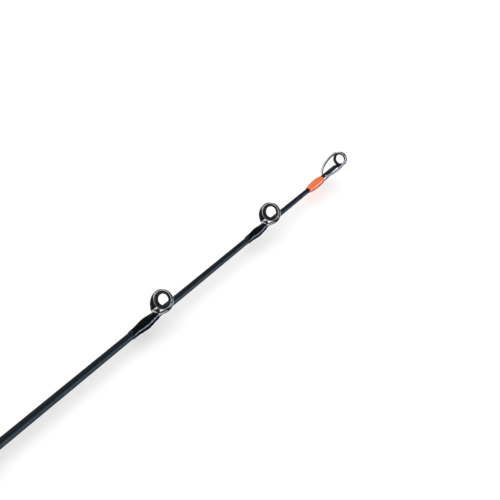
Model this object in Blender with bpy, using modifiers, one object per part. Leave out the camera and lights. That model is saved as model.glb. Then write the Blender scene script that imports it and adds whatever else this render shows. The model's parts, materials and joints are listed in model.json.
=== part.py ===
"""Two-piece casting rod with a trigger reel seat, ringed guides and split grips.

The rod lies along +X, from the flat end of its butt cap at the origin to the ring of its tip-top. The reel
and the guides are on its +Z side, and the trigger is below. All sizes are in metres.
"""
import math

import bmesh
import bpy
from mathutils import Matrix, Vector

# Overall lengths
ROD_LENGTH = 1.980
FERRULE_OVERLAP = 0.060

# Clearances
GLUE = 0.0001
SEAM = 0.0003
RUNNING = 0.00025
SOCKET_GAP = 0.0001

# Blank
BUTT_DIAMETER = 0.0122
SPIGOT_DIAMETER = 0.0072
BUTT_WALL = 0.0011
SOCKET_WALL = 0.00075
SOCKET_LENGTH = 0.025
SOCKET_BLEND = 0.055
SHANK_DIAMETER = 0.0077
TIP_WALL = 0.00055
THIN_DIAMETER = 0.00368
THIN_LENGTH = 0.276
FINE_DIAMETER = 0.00262
FINE_LENGTH = 0.085
TIP_DIAMETER = 0.0017
TIP_SETBACK = 0.0052

# Rings and stamped frames
RING_TILT = math.radians(18.2)
RING_LIP = 0.00095
COLLAR_WALL = 0.0003
COLLAR_DEPTH = 0.0013
STRIP_THICKNESS = 0.0005
STRIP_WIDTH = 0.0009
LOOP_MARGIN = 0.0002
LOOP_PINCH = 0.06
HEEL_SETBACK = 0.0029
HEEL_WIDTH = 0.0024
HEEL_LENGTH = 0.0010
FOOT_WIDTH = 0.0014
TOE_WIDTH = 0.0008
FOOT_THICKNESS = 0.00038
TOE_THICKNESS = 0.00016
STRUT_WIDTH = 0.0016
STRUT_REACH = 0.85

# Bindings
WRAP_GAP = 0.0035
SHORT_WRAP_LENGTH = 0.0150
WRAP_LENGTH = 0.0201
WRAP_SKIN = 0.0002
WRAP_COVER = 0.0001
WRAP_FULLNESS = 0.03
WRAP_SHOULDER = 0.75
WRAP_SPINDLE = ((0.00, 0.00), (0.20, 0.06), (0.38, 0.60), (0.57, 1.00), (0.72, 0.74), (0.86, 0.20),
                (1.00, 0.00))
TOE_SETBACK = 0.0040
CHANNEL_OVERRUN = 0.0014
FERRULE_WRAP_LENGTH = 0.024
FERRULE_WRAP_SKIN = 0.00045

# Guides of the tip section: name, distance behind the tip ring, wrap length, ring diameter, bore and height
SINGLE_FOOT_GUIDES = (
    ("guide_1", 0.064, SHORT_WRAP_LENGTH, 0.0068, 0.0046, 0.0056),
    ("guide_2", 0.156, WRAP_LENGTH, 0.0072, 0.0046, 0.0060),
    ("guide_3", 0.300, WRAP_LENGTH, 0.0072, 0.0046, 0.0066),
    ("guide_4", 0.442, WRAP_LENGTH, 0.0072, 0.0046, 0.0072),
    ("guide_5", 0.590, WRAP_LENGTH, 0.0079, 0.0054, 0.0086),
    ("guide_6", 0.745, WRAP_LENGTH, 0.0088, 0.0063, 0.0106),
)
DOUBLE_FOOT_GUIDE = ("guide_7", 0.908, WRAP_LENGTH, 0.0104, 0.0078, 0.0138)

# Guide of the butt section: name, distance behind the ferrule's mouth, then as above
BUTT_GUIDE = ("guide_8", 0.1015, WRAP_LENGTH, 0.0126, 0.0096, 0.0178)

# Tip-top
TIP_RING_DIAMETER = 0.0054
TIP_RING_BORE = 0.0039
TIP_RING_HEIGHT = 0.0033
TIP_RING_TILT = math.radians(12.6)
TIP_TUBE_WALL = 0.00026
TIP_TUBE_FRONT = 0.0034
TIP_NOSE_FRONT = 0.0003
TIP_NOSE_DIAMETER = 0.0016
TIP_TUBE_LENGTH = 0.0241
TIP_LEG_WIRE = 0.0009
TIP_LEG_REACH = 0.0142
TIP_LEG_BOW = 0.0019
TIP_LEG_FULLNESS = 0.6
TIP_LEG_ROOT_SPREAD = math.radians(28)
TIP_LEG_END_RISE = math.radians(40)
TIP_WRAP_SETBACK = 0.0156
TIP_WRAP_LENGTH = 0.0126
TIP_WRAP_DIAMETER = 0.00375
TIP_WRAP_END_DIAMETER = 0.0030

# Handle along the blank
CAP_LENGTH = 0.020
CAP_POCKET = 0.015
CAP_DIAMETER = 0.0272
CAP_ROUNDING = 0.0016
TRIM_LENGTH = 0.003
TRIM_DIAMETER = 0.0268
BUTT_GRIP_LENGTH = 0.105
BUTT_GRIP_SWELL = 0.0286
BUTT_GRIP_NECK = 0.0185
CHECK_LENGTH = 0.005
CHECK_SKIN = 0.0013
SPLIT_LENGTH = 0.075
REAR_GRIP_LENGTH = 0.050
REAR_GRIP_NECK = 0.0185
FORE_GRIP_LENGTH = 0.034
FORE_GRIP_NECK = 0.0160

# Reel seat
SEAT_DIAMETER = 0.0240
PALM_LENGTH = 0.0235
PALM_DIAMETER = 0.0256
PALM_BELLY = 0.0012
NECK_DIAMETER = 0.0224
BELLY = 0.0014
BARREL_DIAMETER = 0.0200
SEAT_BORE = 0.0146
BED_LENGTH = 0.048
BED_HEIGHT = 0.0086
BED_STEP = 0.0004
KEYWAY_WIDTH = 0.0024
KEYWAY_DEPTH = 0.0010
KEY_CLEARANCE = 0.0002
ARBOR_LENGTH = 0.022
ARBOR_INSET = 0.004

# Trigger
TRIGGER_SETBACK = 0.0115
TRIGGER_DROP = 0.0215
TRIGGER_CURL = 0.0085
TRIGGER_ROOT_DEPTH = 0.0150
TRIGGER_TIP_DEPTH = 0.0046
TRIGGER_ROOT_WIDTH = 0.0130
TRIGGER_TIP_WIDTH = 0.0068

# Hoods and lock nut
HOOD_MARGIN = 0.0005
HOOD_TRAVEL = 0.0160
HOOD_LENGTH = 0.0160
FIXED_HOOD_LENGTH = 0.0142
HOOD_POCKET = 0.0122
HOOD_POCKET_WIDTH = 0.0176
HOOD_ARCH = 0.0142
HOOD_WALL = 0.0010
HOOD_SLEEVE_WALL = 0.0012
LOBE_INNER = math.radians(34)
LOBE_OUTER = math.radians(64)
LINER_THICKNESS = 0.0008
LINER_LENGTH = 0.0105
LINER_ANGLE = math.radians(33)
NUT_LENGTH = 0.0155
NUT_ROOM = 0.0072
NUT_WALL = 0.00235
NUT_FLUTES = 20
NUT_FLUTE_DEPTH = 0.0006
NUT_CHAMFER = 0.0012

# Hook keeper
KEEPER_SETBACK = 0.016
KEEPER_WIRE = 0.0010
KEEPER_LOOP = 0.0085
KEEPER_REACH = 0.0062
KEEPER_FOOT = 0.0075
KEEPER_SKIN = 0.0003
KEEPER_SPINDLE = ((0.0, 0.6), (0.2, 1.0), (0.5, 1.0), (0.8, 0.7), (1.0, 0.0))

# Facets
BLANK_SIDES = 16
WRAP_SIDES = 12
RING_SIDES = 16
HANDLE_SIDES = 24
SEAT_SIDES = 32
LOOP_STEPS = 16
TIP_LEG_STEPS = 7
RING_SECTION = 6
TRIGGER_SIDES = 12
TRIGGER_STEPS = 8

# Places that follow from the sizes
TIP_RING_X = ROD_LENGTH - TIP_RING_DIAMETER / 2 * math.sin(TIP_RING_TILT) - RING_LIP
SPIGOT_X = (ROD_LENGTH + FERRULE_OVERLAP) / 2
SOCKET_X = SPIGOT_X - FERRULE_OVERLAP
BUTT_BLANK_X = CAP_LENGTH - CAP_POCKET
TRIM_X = CAP_LENGTH + SEAM
BUTT_GRIP_X = TRIM_X + TRIM_LENGTH + SEAM
BUTT_CHECK_X = BUTT_GRIP_X + BUTT_GRIP_LENGTH + SEAM
REAR_CHECK_X = BUTT_CHECK_X + CHECK_LENGTH + SPLIT_LENGTH
REAR_GRIP_X = REAR_CHECK_X + CHECK_LENGTH + SEAM
SEAT_X = REAR_GRIP_X + REAR_GRIP_LENGTH + SEAM
NECK_X = SEAT_X + PALM_LENGTH
FIXED_HOOD_X = NECK_X + SEAM
FIXED_MOUTH_X = FIXED_HOOD_X + FIXED_HOOD_LENGTH
BED_X = FIXED_MOUTH_X + HOOD_MARGIN
BED_END_X = BED_X + BED_LENGTH
HOOD_X = BED_END_X + HOOD_MARGIN
BARREL_X = HOOD_X - HOOD_TRAVEL - 2 * HOOD_MARGIN
NUT_X = HOOD_X + HOOD_LENGTH + SEAM
SEAT_END_X = NUT_X + NUT_LENGTH + NUT_ROOM
FORE_GRIP_X = SEAT_END_X + SEAM
FORE_CHECK_X = FORE_GRIP_X + FORE_GRIP_LENGTH + SEAM
KEEPER_X = FORE_CHECK_X + CHECK_LENGTH + KEEPER_SETBACK
HOOD_FLOOR = BED_HEIGHT - BED_STEP
FULL_TURN = 2 * math.pi
UPWARD = math.pi / 2

FINISHES = {
    "blank": ((0.022, 0.030, 0.042), 0.42, 0.0),
    "wrap": ((0.008, 0.010, 0.013), 0.08, 0.0),
    "orange_wrap": ((0.86, 0.16, 0.03), 0.12, 0.0),
    "frame": ((0.32, 0.34, 0.37), 0.16, 1.0),
    "ceramic": ((0.010, 0.011, 0.013), 0.10, 0.0),
    "foam": ((0.020, 0.021, 0.023), 0.85, 0.0),
    "rubber": ((0.025, 0.025, 0.027), 0.70, 0.0),
    "seat": ((0.012, 0.013, 0.015), 0.35, 0.0),
    "liner": ((0.030, 0.032, 0.036), 0.50, 0.0),
    "anodised": ((0.10, 0.11, 0.13), 0.25, 1.0),
    "trim": ((0.75, 0.16, 0.04), 0.28, 1.0),
    "arbor": ((0.45, 0.40, 0.30), 0.80, 0.0),
}


# Small helpers

def along(points, x):
    """Value at x on the straight lines through the given (x, value) points."""
    for (x0, v0), (x1, v1) in zip(points, points[1:]):
        if x <= x1:
            return v0 + (v1 - v0) * (x - x0) / (x1 - x0)
    return points[-1][1]


def smooth(t):
    """Rises from 0 to 1 with level ends."""
    t = min(1.0, max(0.0, t))
    return t * t * (3 - 2 * t)


def butt_radius(x):
    """Outer radius of the butt section's blank."""
    return along(((0.0, BUTT_DIAMETER / 2), (SPIGOT_X, SPIGOT_DIAMETER / 2)), x)


def tip_radius(x):
    """Outer radius of the tip section's blank."""
    mouth = butt_radius(SOCKET_X) + SOCKET_GAP + SOCKET_WALL
    return along((
        (SOCKET_X, mouth),
        (SOCKET_X + SOCKET_LENGTH, mouth),
        (SOCKET_X + SOCKET_LENGTH + SOCKET_BLEND, SHANK_DIAMETER / 2),
        (TIP_RING_X - THIN_LENGTH, THIN_DIAMETER / 2),
        (TIP_RING_X - FINE_LENGTH, FINE_DIAMETER / 2),
        (TIP_RING_X - TIP_SETBACK, TIP_DIAMETER / 2),
    ), x)


def blank_radius(x):
    """Outer radius of whichever section shows at x."""
    return butt_radius(x) if x < SOCKET_X else tip_radius(x)


def finish_material(name):
    material = bpy.data.materials.get(name)
    if material is None:
        color, roughness, metallic = FINISHES[name]
        material = bpy.data.materials.new(name)
        material.use_nodes = True
        material.diffuse_color = (*color, 1.0)
        shader = material.node_tree.nodes["Principled BSDF"]
        shader.inputs["Base Color"].default_value = (*color, 1.0)
        shader.inputs["Roughness"].default_value = roughness
        shader.inputs["Metallic"].default_value = metallic
    return material


def collection(name):
    found = bpy.data.collections.get(name)
    if found is None:
        found = bpy.data.collections.new(name)
        bpy.context.scene.collection.children.link(found)
    return found


def add(name, data, finish=None, place=None):
    """Links a piece of the rod, or a cutter where no finish is given."""
    thing = bpy.data.objects.new(name, data)
    if place is not None:
        thing.matrix_world = place
    if finish is None:
        collection("cutters").objects.link(thing)
        thing.hide_render = True
        thing.display_type = "WIRE"
    else:
        collection("casting_rod").objects.link(thing)
        data.materials.append(finish_material(finish))
    return thing


def on_blank(x=0.0, height=0.0, tilt=0.0):
    """Placement whose local Z runs along the blank and leans down by tilt."""
    return Matrix.Translation((x, 0.0, height)) @ Matrix.Rotation(UPWARD + tilt, 4, "Y")


def ring_up(tilt):
    """Unit vector up along a ring that leans toward the tip."""
    return Vector((math.sin(tilt), 0.0, math.cos(tilt)))


# Ways of making a body

def sleeve(outer, inner):
    """Closed profile of a tube; both lists of (distance, radius) run from the rear to the front."""
    return list(reversed(outer)) + list(inner)


def solid(start, end, radius):
    """Profile of a plain cylinder."""
    return [(end, 0.0), (end, radius), (start, radius), (start, 0.0)]


def turned(name, profile, sides, finish=None, place=None):
    """Body turned about the local Z axis; the profile runs down the outer side, from front to rear."""
    last = len(profile) - 1
    edges = [(i, i + 1) for i in range(last)]
    if profile[0][1] > 0:
        edges.append((last, 0))
    mesh = bpy.data.meshes.new(name)
    mesh.from_pydata([(radius, 0.0, distance) for distance, radius in profile], edges, [])
    thing = add(name, mesh, finish, place or on_blank())
    screw = thing.modifiers.new("turn", "SCREW")
    screw.axis = "Z"
    screw.angle = FULL_TURN
    screw.steps = sides
    screw.render_steps = sides
    screw.use_merge_vertices = True
    screw.merge_threshold = 0.00001
    screw.use_smooth_shade = True
    return thing


def boolean(thing, operation, others):
    for other in others:
        modifier = thing.modifiers.new(other.name, "BOOLEAN")
        modifier.operation = operation
        modifier.solver = "EXACT"
        modifier.object = other
    return thing


def cut(thing, *others):
    return boolean(thing, "DIFFERENCE", others)


def join(thing, *others):
    return boolean(thing, "UNION", others)


def lofted(name, rings, finish=None):
    """Closed body through rings of equally many points."""
    body = bmesh.new()
    rows = [[body.verts.new(point) for point in ring] for ring in rings]
    count = len(rows[0])
    for near, far in zip(rows, rows[1:]):
        for i in range(count):
            j = (i + 1) % count
            body.faces.new((near[i], near[j], far[j], far[i]))
    body.faces.new(rows[0][::-1])
    body.faces.new(rows[-1])
    bmesh.ops.recalc_face_normals(body, faces=body.faces)
    mesh = bpy.data.meshes.new(name)
    body.to_mesh(mesh)
    body.free()
    mesh.shade_smooth()
    mesh.set_sharp_from_angle(angle=math.radians(35))
    return add(name, mesh, finish)


def round_loft(name, stations, radius, sides, finish=None):
    """Body along X whose radius depends on the distance along X and the angle from +Y toward +Z."""
    angles = [FULL_TURN * i / sides for i in range(sides)]
    rings = [[(x, radius(i, a) * math.cos(a), radius(i, a) * math.sin(a)) for a in angles]
             for i, x in enumerate(stations)]
    return lofted(name, rings, finish)


def prism(name, outline, start, end, finish=None):
    """Outline of (y, z) points carried along X."""
    return lofted(name, [[(x, y, z) for y, z in outline] for x in (start, end)], finish)


def plate(name, outline, width):
    """Outline of (x, z) points, centred on the rod's middle plane."""
    return lofted(name, [[(x, y, z) for x, z in outline] for y in (-width / 2, width / 2)])


def block(name, low, high):
    """Box between two corners."""
    body = bmesh.new()
    bmesh.ops.create_cube(body, size=1.0)
    bmesh.ops.scale(body, vec=Vector(high) - Vector(low), verts=body.verts)
    mesh = bpy.data.meshes.new(name)
    body.to_mesh(mesh)
    body.free()
    return add(name, mesh, None, Matrix.Translation((Vector(low) + Vector(high)) / 2))


def arc(radius, start, end, count):
    """Points (y, z) on an arc about the blank's axis."""
    angles = [start + (end - start) * i / (count - 1) for i in range(count)]
    return [(radius * math.cos(a), radius * math.sin(a)) for a in angles]


def wire(name, points, bevel, resolution=0, cyclic=False, extrude=0.0, place=None, finish=None):
    """Closed mesh of a wire or strip through the points."""
    curve = bpy.data.curves.new(name, "CURVE")
    curve.dimensions = "3D"
    curve.fill_mode = "FULL"
    curve.bevel_depth = bevel
    curve.bevel_resolution = resolution
    curve.extrude = extrude
    curve.use_fill_caps = not cyclic
    spline = curve.splines.new("POLY")
    spline.points.add(len(points) - 1)
    for knot, point in zip(spline.points, points):
        knot.co = (*point, 1.0)
    spline.use_cyclic_u = cyclic
    guide_curve = add(name + "_curve", curve, None, place)
    bpy.context.view_layer.update()
    graph = bpy.context.evaluated_depsgraph_get()
    mesh = bpy.data.meshes.new_from_object(guide_curve.evaluated_get(graph))
    mesh.name = name
    body = bmesh.new()
    body.from_mesh(mesh)
    bmesh.ops.remove_doubles(body, verts=body.verts, dist=0.000001)
    body.to_mesh(mesh)
    body.free()
    mesh.shade_smooth()
    thing = add(name, mesh, finish, guide_curve.matrix_world.copy())
    bpy.data.objects.remove(guide_curve, do_unlink=True)
    return thing


# Guides

def in_plane(bottom, top):
    """Placement with local X on the rod's +Y side and local Y from bottom to top in the middle plane."""
    up = (top - bottom).normalized()
    side = Vector((0.0, 1.0, 0.0))
    turn = Matrix((side, up, side.cross(up))).transposed().to_4x4()
    return Matrix.Translation(bottom) @ turn


def frame_loop(name, bottom, top, width, pinch):
    """Stamped strip bent to a closed pear shape, narrow at the bottom."""
    height = (top - bottom).length
    turns = [FULL_TURN * i / LOOP_STEPS for i in range(LOOP_STEPS)]
    sides = [math.sin(t) * (1 - pinch * math.cos(t)) for t in turns]
    scale = (width - STRIP_THICKNESS) / 2 / max(sides)
    points = [(scale * s, height * (1 - math.cos(t)) / 2, 0.0) for s, t in zip(sides, turns)]
    bevel = STRIP_THICKNESS / 2
    return wire(name, points, bevel, cyclic=True, extrude=STRIP_WIDTH / 2 - bevel,
                place=in_plane(bottom, top), finish="frame")


def ceramic_ring(name, place, diameter, bore):
    """Oval section turned about the ring's axis."""
    middle = (diameter + bore) / 4
    half_wall = (diameter - bore) / 4
    turns = [UPWARD - FULL_TURN * i / RING_SECTION for i in range(RING_SECTION)]
    profile = [(RING_LIP * math.cos(a), middle + half_wall * math.sin(a)) for a in reversed(turns)]
    return turned(name, profile, RING_SIDES, "ceramic", place)


def collar_radius(diameter):
    return diameter / 2 + GLUE + COLLAR_WALL


def collar(name, place, diameter):
    """Disc where the ring sits; the ring's pocket goes through it."""
    half = COLLAR_DEPTH / 2
    return turned(name, solid(-half, half, collar_radius(diameter)), RING_SIDES, None, place)


def ring_pocket(name, place, diameter):
    reach = RING_LIP + STRIP_WIDTH
    return turned(name, solid(-reach, reach, diameter / 2 + GLUE), RING_SIDES, None, place)


def foot_outline(toe_x, heel_x, base, spare=0.0):
    """Side view (x, z) of a foot that thins out to its toe, enlarged by spare."""
    return [(toe_x, base - spare), (heel_x, base - spare), (heel_x, base + FOOT_THICKNESS + spare),
            (toe_x, base + TOE_THICKNESS + spare)]


def tapered_plate(name, outline, toe_x, toe_width, heel_width):
    """Plate whose width changes between its toe and its other end."""
    widths = [toe_width if abs(x - toe_x) < SEAM else heel_width for x, _ in outline]
    rings = [[(x, side * width / 2, z) for (x, z), width in zip(outline, widths)] for side in (-1, 1)]
    return lofted(name, rings)


def foot(name, toe_x, heel_x, base):
    return tapered_plate(name, foot_outline(toe_x, heel_x, base), toe_x, TOE_WIDTH, FOOT_WIDTH)


def foot_channel(name, toe_x, heel_x, base):
    """Cutter round a foot, open toward its heel."""
    away = math.copysign(1.0, heel_x - toe_x)
    end = toe_x - away * GLUE
    outline = foot_outline(end, heel_x + away * CHANNEL_OVERRUN, base, GLUE)
    return tapered_plate(name, outline, end, TOE_WIDTH + 2 * GLUE, FOOT_WIDTH + 2 * GLUE)


def binding(name, stations, bore, side, cutters, finish="wrap"):
    """Thread binding bored for the blank: stations are (x, radius, lift), and lift bulges it on one side."""
    body = round_loft(name, [row[0] for row in stations],
                      lambda i, a: stations[i][1] + stations[i][2] * max(0.0, side * math.sin(a)) ** 2,
                      WRAP_SIDES, finish)
    (x0, r0), (x1, r1) = bore
    slope = (r1 - r0) / (x1 - x0) * SEAM
    hole = [(x1 + SEAM, 0.0), (x1 + SEAM, r1 + slope), (x0 - SEAM, r0 - slope), (x0 - SEAM, 0.0)]
    return cut(body, turned(name + "_bore", hole, BLANK_SIDES), *cutters)


def lift_over(corner, radius):
    """Bulge that takes the surface over a foot's upper corner, which lies some way off the middle plane."""
    return max(0.0, corner - radius) / WRAP_SHOULDER


def guide_wrap(name, back, front, toe, heel, base):
    """Binding over a guide's foot: a spindle, highest past its middle and hollow where the foot leaves it."""
    forward = heel > toe
    rear_bore = blank_radius(back) + GLUE
    front_bore = blank_radius(front) + GLUE
    fullness = WRAP_FULLNESS * (front - back - SHORT_WRAP_LENGTH)
    swell = base + FOOT_THICKNESS + GLUE + WRAP_COVER + fullness
    stations = []
    for share, rise in WRAP_SPINDLE:
        x = back + (front - back) * (share if forward else 1 - share)
        low = blank_radius(x) + GLUE + WRAP_SKIN
        radius = low + (swell - low) * rise
        along_foot = min(1.0, max(0.0, (x - toe) / (heel - toe)))
        top = base + TOE_THICKNESS + (FOOT_THICKNESS - TOE_THICKNESS) * along_foot + GLUE + WRAP_COVER
        half = (TOE_WIDTH + (FOOT_WIDTH - TOE_WIDTH) * along_foot) / 2 + GLUE
        on_foot = along_foot > 0 or share > 0.15
        stations.append((x, radius, lift_over(math.hypot(top, half), radius) if on_foot else 0.0))
    stations.sort()
    channel = foot_channel(name + "_channel", toe, heel, base)
    binding(name, stations, ((back, rear_bore), (front, front_bore)), 1, [channel])


def guide(start, name, distance, length, diameter, bore, height, double_foot=False):
    """Ring, stamped frame and bindings of one guide, behind start by distance."""
    x = start - distance
    place = on_blank(x, height, RING_TILT)
    radius = collar_radius(diameter)
    up = ring_up(RING_TILT)
    centre = Vector((x, 0.0, height))
    seat = centre - up * (radius - COLLAR_WALL * 0.4)
    top = centre + up * (radius + STRIP_THICKNESS * 0.3)
    front = x - WRAP_GAP
    back = front - length
    toe = back + TOE_SETBACK
    base = blank_radius(toe) + GLUE
    heel = x - HEEL_SETBACK
    ceramic_ring(name + "_ring", place, diameter, bore)
    bottom = Vector((heel, 0.0, base + FOOT_THICKNESS))
    frame = frame_loop(name + "_frame", bottom, top, 2 * (radius + LOOP_MARGIN + STRIP_THICKNESS), LOOP_PINCH)
    half = HEEL_LENGTH / 2
    heel_outline = [(heel - half, base), (heel + half, base), (seat.x + COLLAR_DEPTH / 2, seat.z),
                    (seat.x - COLLAR_DEPTH / 2, seat.z)]
    join(frame, collar(name + "_collar", place, diameter), plate(name + "_heel", heel_outline, HEEL_WIDTH),
         foot(name + "_foot", toe, heel, base))
    guide_wrap(name + ("_rear_wrap" if double_foot else "_wrap"), back, front, toe, heel, base)
    if double_foot:
        join(frame, *front_leg(name, x, length, height, seat))
    cut(frame, ring_pocket(name + "_pocket", place, diameter))


def front_leg(name, x, length, height, seat):
    """Second foot, toward the tip, with its strut up to the collar and its binding."""
    back = x + height * STRUT_REACH
    front = back + length
    toe = front - TOE_SETBACK
    base = blank_radius(back - WRAP_GAP) + GLUE
    root = back - WRAP_GAP
    guide_wrap(name + "_front_wrap", back, front, toe, root, base)
    thick = FOOT_THICKNESS
    strut = [(root, base), (root + thick * 2, base), (root + thick * 2, base + thick),
             (seat.x + COLLAR_DEPTH / 2, seat.z + COLLAR_WALL), (seat.x, seat.z - COLLAR_WALL)]
    return foot(name + "_front_foot", toe, root, base), plate(name + "_strut", strut, STRUT_WIDTH)


def tip_leg(name, side, root, end):
    """Wire from the tip-top's tube, bowed out on its way to the upper half of the collar's side."""
    steps = [i / TIP_LEG_STEPS for i in range(TIP_LEG_STEPS + 1)]
    points = []
    for t in steps:
        point = root.lerp(end, t)
        bow = TIP_LEG_BOW * (4 * t * (1 - t)) ** TIP_LEG_FULLNESS
        points.append((point.x, side * (point.y + bow), point.z))
    return wire(name, points, TIP_LEG_WIRE / 2)


def tip_top():
    """Tube on the blank's end with a nose under the ring, two bowed legs, and orange binding."""
    x = TIP_RING_X
    place = on_blank(x, TIP_RING_HEIGHT, TIP_RING_TILT)
    front = x - TIP_TUBE_FRONT
    back = front - TIP_TUBE_LENGTH
    bore = tip_radius(back) + GLUE
    radius = bore + TIP_TUBE_WALL
    ceramic_ring("tip_top_ring", place, TIP_RING_DIAMETER, TIP_RING_BORE)
    rim = collar_radius(TIP_RING_DIAMETER)
    spread = TIP_LEG_ROOT_SPREAD
    root = Vector((x - TIP_LEG_REACH, radius * math.sin(spread), radius * math.cos(spread)))
    end = Vector((x, rim * math.cos(TIP_LEG_END_RISE), TIP_RING_HEIGHT))
    end += ring_up(TIP_RING_TILT) * rim * math.sin(TIP_LEG_END_RISE)
    nose = x - TIP_NOSE_FRONT
    outline = [(nose, 0.0), (nose, TIP_NOSE_DIAMETER / 2), (front, radius), (back, radius), (back, 0.0)]
    frame = turned("tip_top_frame", outline, BLANK_SIDES, "frame")
    join(frame, collar("tip_top_collar", place, TIP_RING_DIAMETER), tip_leg("left_leg", 1, root, end),
         tip_leg("right_leg", -1, root, end))
    hole = solid(back - SEAM, x - TIP_SETBACK + SEAM, bore)
    cut(frame, ring_pocket("tip_top_pocket", place, TIP_RING_DIAMETER),
        turned("tip_top_bore", hole, BLANK_SIDES))
    tip_wrap(back, radius)


def tip_wrap(tube_back, tube_radius):
    """Orange binding over the tip-top's tube and the blank just behind it."""
    front = TIP_RING_X - TIP_WRAP_SETBACK
    back = front - TIP_WRAP_LENGTH
    thin = tip_radius(back) + GLUE
    rear = thin + WRAP_SKIN
    peak = TIP_WRAP_DIAMETER / 2
    end = TIP_WRAP_END_DIAMETER / 2
    shape = ((0.00, rear), (0.22, rear + (peak - rear) * 0.55), (0.45, rear + (peak - rear) * 0.93),
             (0.65, peak), (0.85, end + (peak - end) * 0.55), (1.00, end))
    outer = [(back + TIP_WRAP_LENGTH * t, r) for t, r in shape]
    step = tube_back - SEAM
    inner = [(back, thin), (step, thin), (step, tube_radius + GLUE), (front, tube_radius + GLUE)]
    turned("tip_top_wrap", sleeve(outer, inner), WRAP_SIDES, "orange_wrap")


# Blank

def tip_blank():
    """Tip section: socket at its rear end, long taper, and a bore that closes before the thin end."""
    end = TIP_RING_X - TIP_SETBACK
    bore_end = TIP_RING_X - THIN_LENGTH
    stop = SPIGOT_X + SEAM
    taper = SOCKET_X + SOCKET_LENGTH
    stations = (SOCKET_X, taper, taper + SOCKET_BLEND, bore_end, TIP_RING_X - FINE_LENGTH, end)
    outer = [(x, tip_radius(x)) for x in stations]
    outer.append((end, 0.0))
    shank = stop + SOCKET_BLEND
    inner = [(SOCKET_X, butt_radius(SOCKET_X) + SOCKET_GAP), (stop, butt_radius(stop) + SOCKET_GAP),
             (shank, tip_radius(shank) - TIP_WALL), (bore_end, tip_radius(bore_end) - TIP_WALL),
             (bore_end + SOCKET_LENGTH, 0.0)]
    turned("tip_blank", sleeve(outer, inner), BLANK_SIDES, "blank")


def butt_blank():
    stations = (BUTT_BLANK_X, SPIGOT_X)
    outer = [(x, butt_radius(x)) for x in stations]
    inner = [(x, butt_radius(x) - BUTT_WALL) for x in stations]
    turned("butt_blank", sleeve(outer, inner), BLANK_SIDES, "blank")


def ferrule_wrap():
    """Binding that keeps the socket's mouth from splitting."""
    low = tip_radius(SOCKET_X) + GLUE
    skin = FERRULE_WRAP_SKIN
    start = SOCKET_X + SEAM
    end = start + FERRULE_WRAP_LENGTH
    outer = [(start, low + skin * 0.5), (start + skin * 2, low + skin), (end - skin * 4, low + skin),
             (end, low + skin * 0.3)]
    turned("ferrule_wrap", sleeve(outer, [(start, low), (end, low)]), BLANK_SIDES, "wrap")


# Handle

def ring_on_blank(name, start, outline, finish, sides=HANDLE_SIDES):
    """Turned piece glued on the butt blank; outline is (distance from start, radius)."""
    outer = [(start + distance, radius) for distance, radius in outline]
    end = outer[-1][0]
    inner = [(start, butt_radius(start) + GLUE), (end, butt_radius(end) + GLUE)]
    return turned(name, sleeve(outer, inner), sides, finish)


def butt_cap():
    """Rubber cup over the blank's end, with a flat face to stand the rod on."""
    radius = CAP_DIAMETER / 2
    soft = CAP_ROUNDING
    bore = butt_radius(0.0) + GLUE
    floor = BUTT_BLANK_X - SEAM
    profile = [(floor, 0.0), (floor, bore), (CAP_LENGTH, bore), (CAP_LENGTH, radius), (soft, radius),
               (soft * 0.3, radius - soft * 0.3), (0.0, radius - soft), (0.0, 0.0)]
    turned("butt_cap", profile, HANDLE_SIDES, "rubber")


def winding_check(name, start, rear, front):
    """Tapered metal ring that closes a grip's end on the blank."""
    outline = [(0.0, rear), (CHECK_LENGTH * 0.5, rear + (front - rear) * 0.3), (CHECK_LENGTH, front)]
    ring_on_blank(name, start, outline, "anodised")


def grips():
    """Butt cap, foam grips and the rings at their ends."""
    butt_cap()
    trim = TRIM_DIAMETER / 2
    ring_on_blank("butt_trim_ring", TRIM_X, [(0.0, trim), (TRIM_LENGTH, trim)], "trim")
    swell = BUTT_GRIP_SWELL / 2
    neck = BUTT_GRIP_NECK / 2
    length = BUTT_GRIP_LENGTH
    outline = [(0.0, trim), (0.12 * length, trim + (swell - trim) * 0.7), (0.26 * length, swell),
               (0.45 * length, neck + (swell - neck) * 0.82), (0.68 * length, neck + (swell - neck) * 0.38),
               (0.88 * length, neck + (swell - neck) * 0.06), (length, neck)]
    ring_on_blank("butt_grip", BUTT_GRIP_X, outline, "foam")
    winding_check("butt_winding_check", BUTT_CHECK_X, neck, butt_radius(BUTT_CHECK_X) + CHECK_SKIN)
    rear = REAR_GRIP_NECK / 2
    winding_check("rear_winding_check", REAR_CHECK_X, butt_radius(REAR_CHECK_X) + CHECK_SKIN, rear)
    seat = SEAT_DIAMETER / 2
    length = REAR_GRIP_LENGTH
    rise = seat - rear
    outline = [(0.0, rear), (0.20 * length, rear + rise * 0.10), (0.50 * length, rear + rise * 0.48),
               (0.80 * length, rear + rise * 0.90), (length, seat)]
    ring_on_blank("rear_grip", REAR_GRIP_X, outline, "foam")
    wide = BARREL_DIAMETER / 2 + HOOD_SLEEVE_WALL
    fore = FORE_GRIP_NECK / 2
    length = FORE_GRIP_LENGTH
    drop = wide - fore
    outline = [(0.0, wide), (0.25 * length, wide - drop * 0.08), (0.60 * length, wide - drop * 0.55),
               (0.85 * length, wide - drop * 0.94), (length, fore)]
    ring_on_blank("fore_grip", FORE_GRIP_X, outline, "foam")
    winding_check("fore_winding_check", FORE_CHECK_X, fore, butt_radius(FORE_CHECK_X) + CHECK_SKIN)


def arbors():
    """Bushes that centre the reel seat on the blank."""
    radius = SEAT_BORE / 2 - GLUE
    outline = [(0.0, radius), (ARBOR_LENGTH, radius)]
    ring_on_blank("rear_arbor", SEAT_X + ARBOR_INSET, outline, "arbor", BLANK_SIDES)
    ring_on_blank("front_arbor", SEAT_END_X - ARBOR_INSET - ARBOR_LENGTH, outline, "arbor", BLANK_SIDES)


# Reel seat

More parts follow.
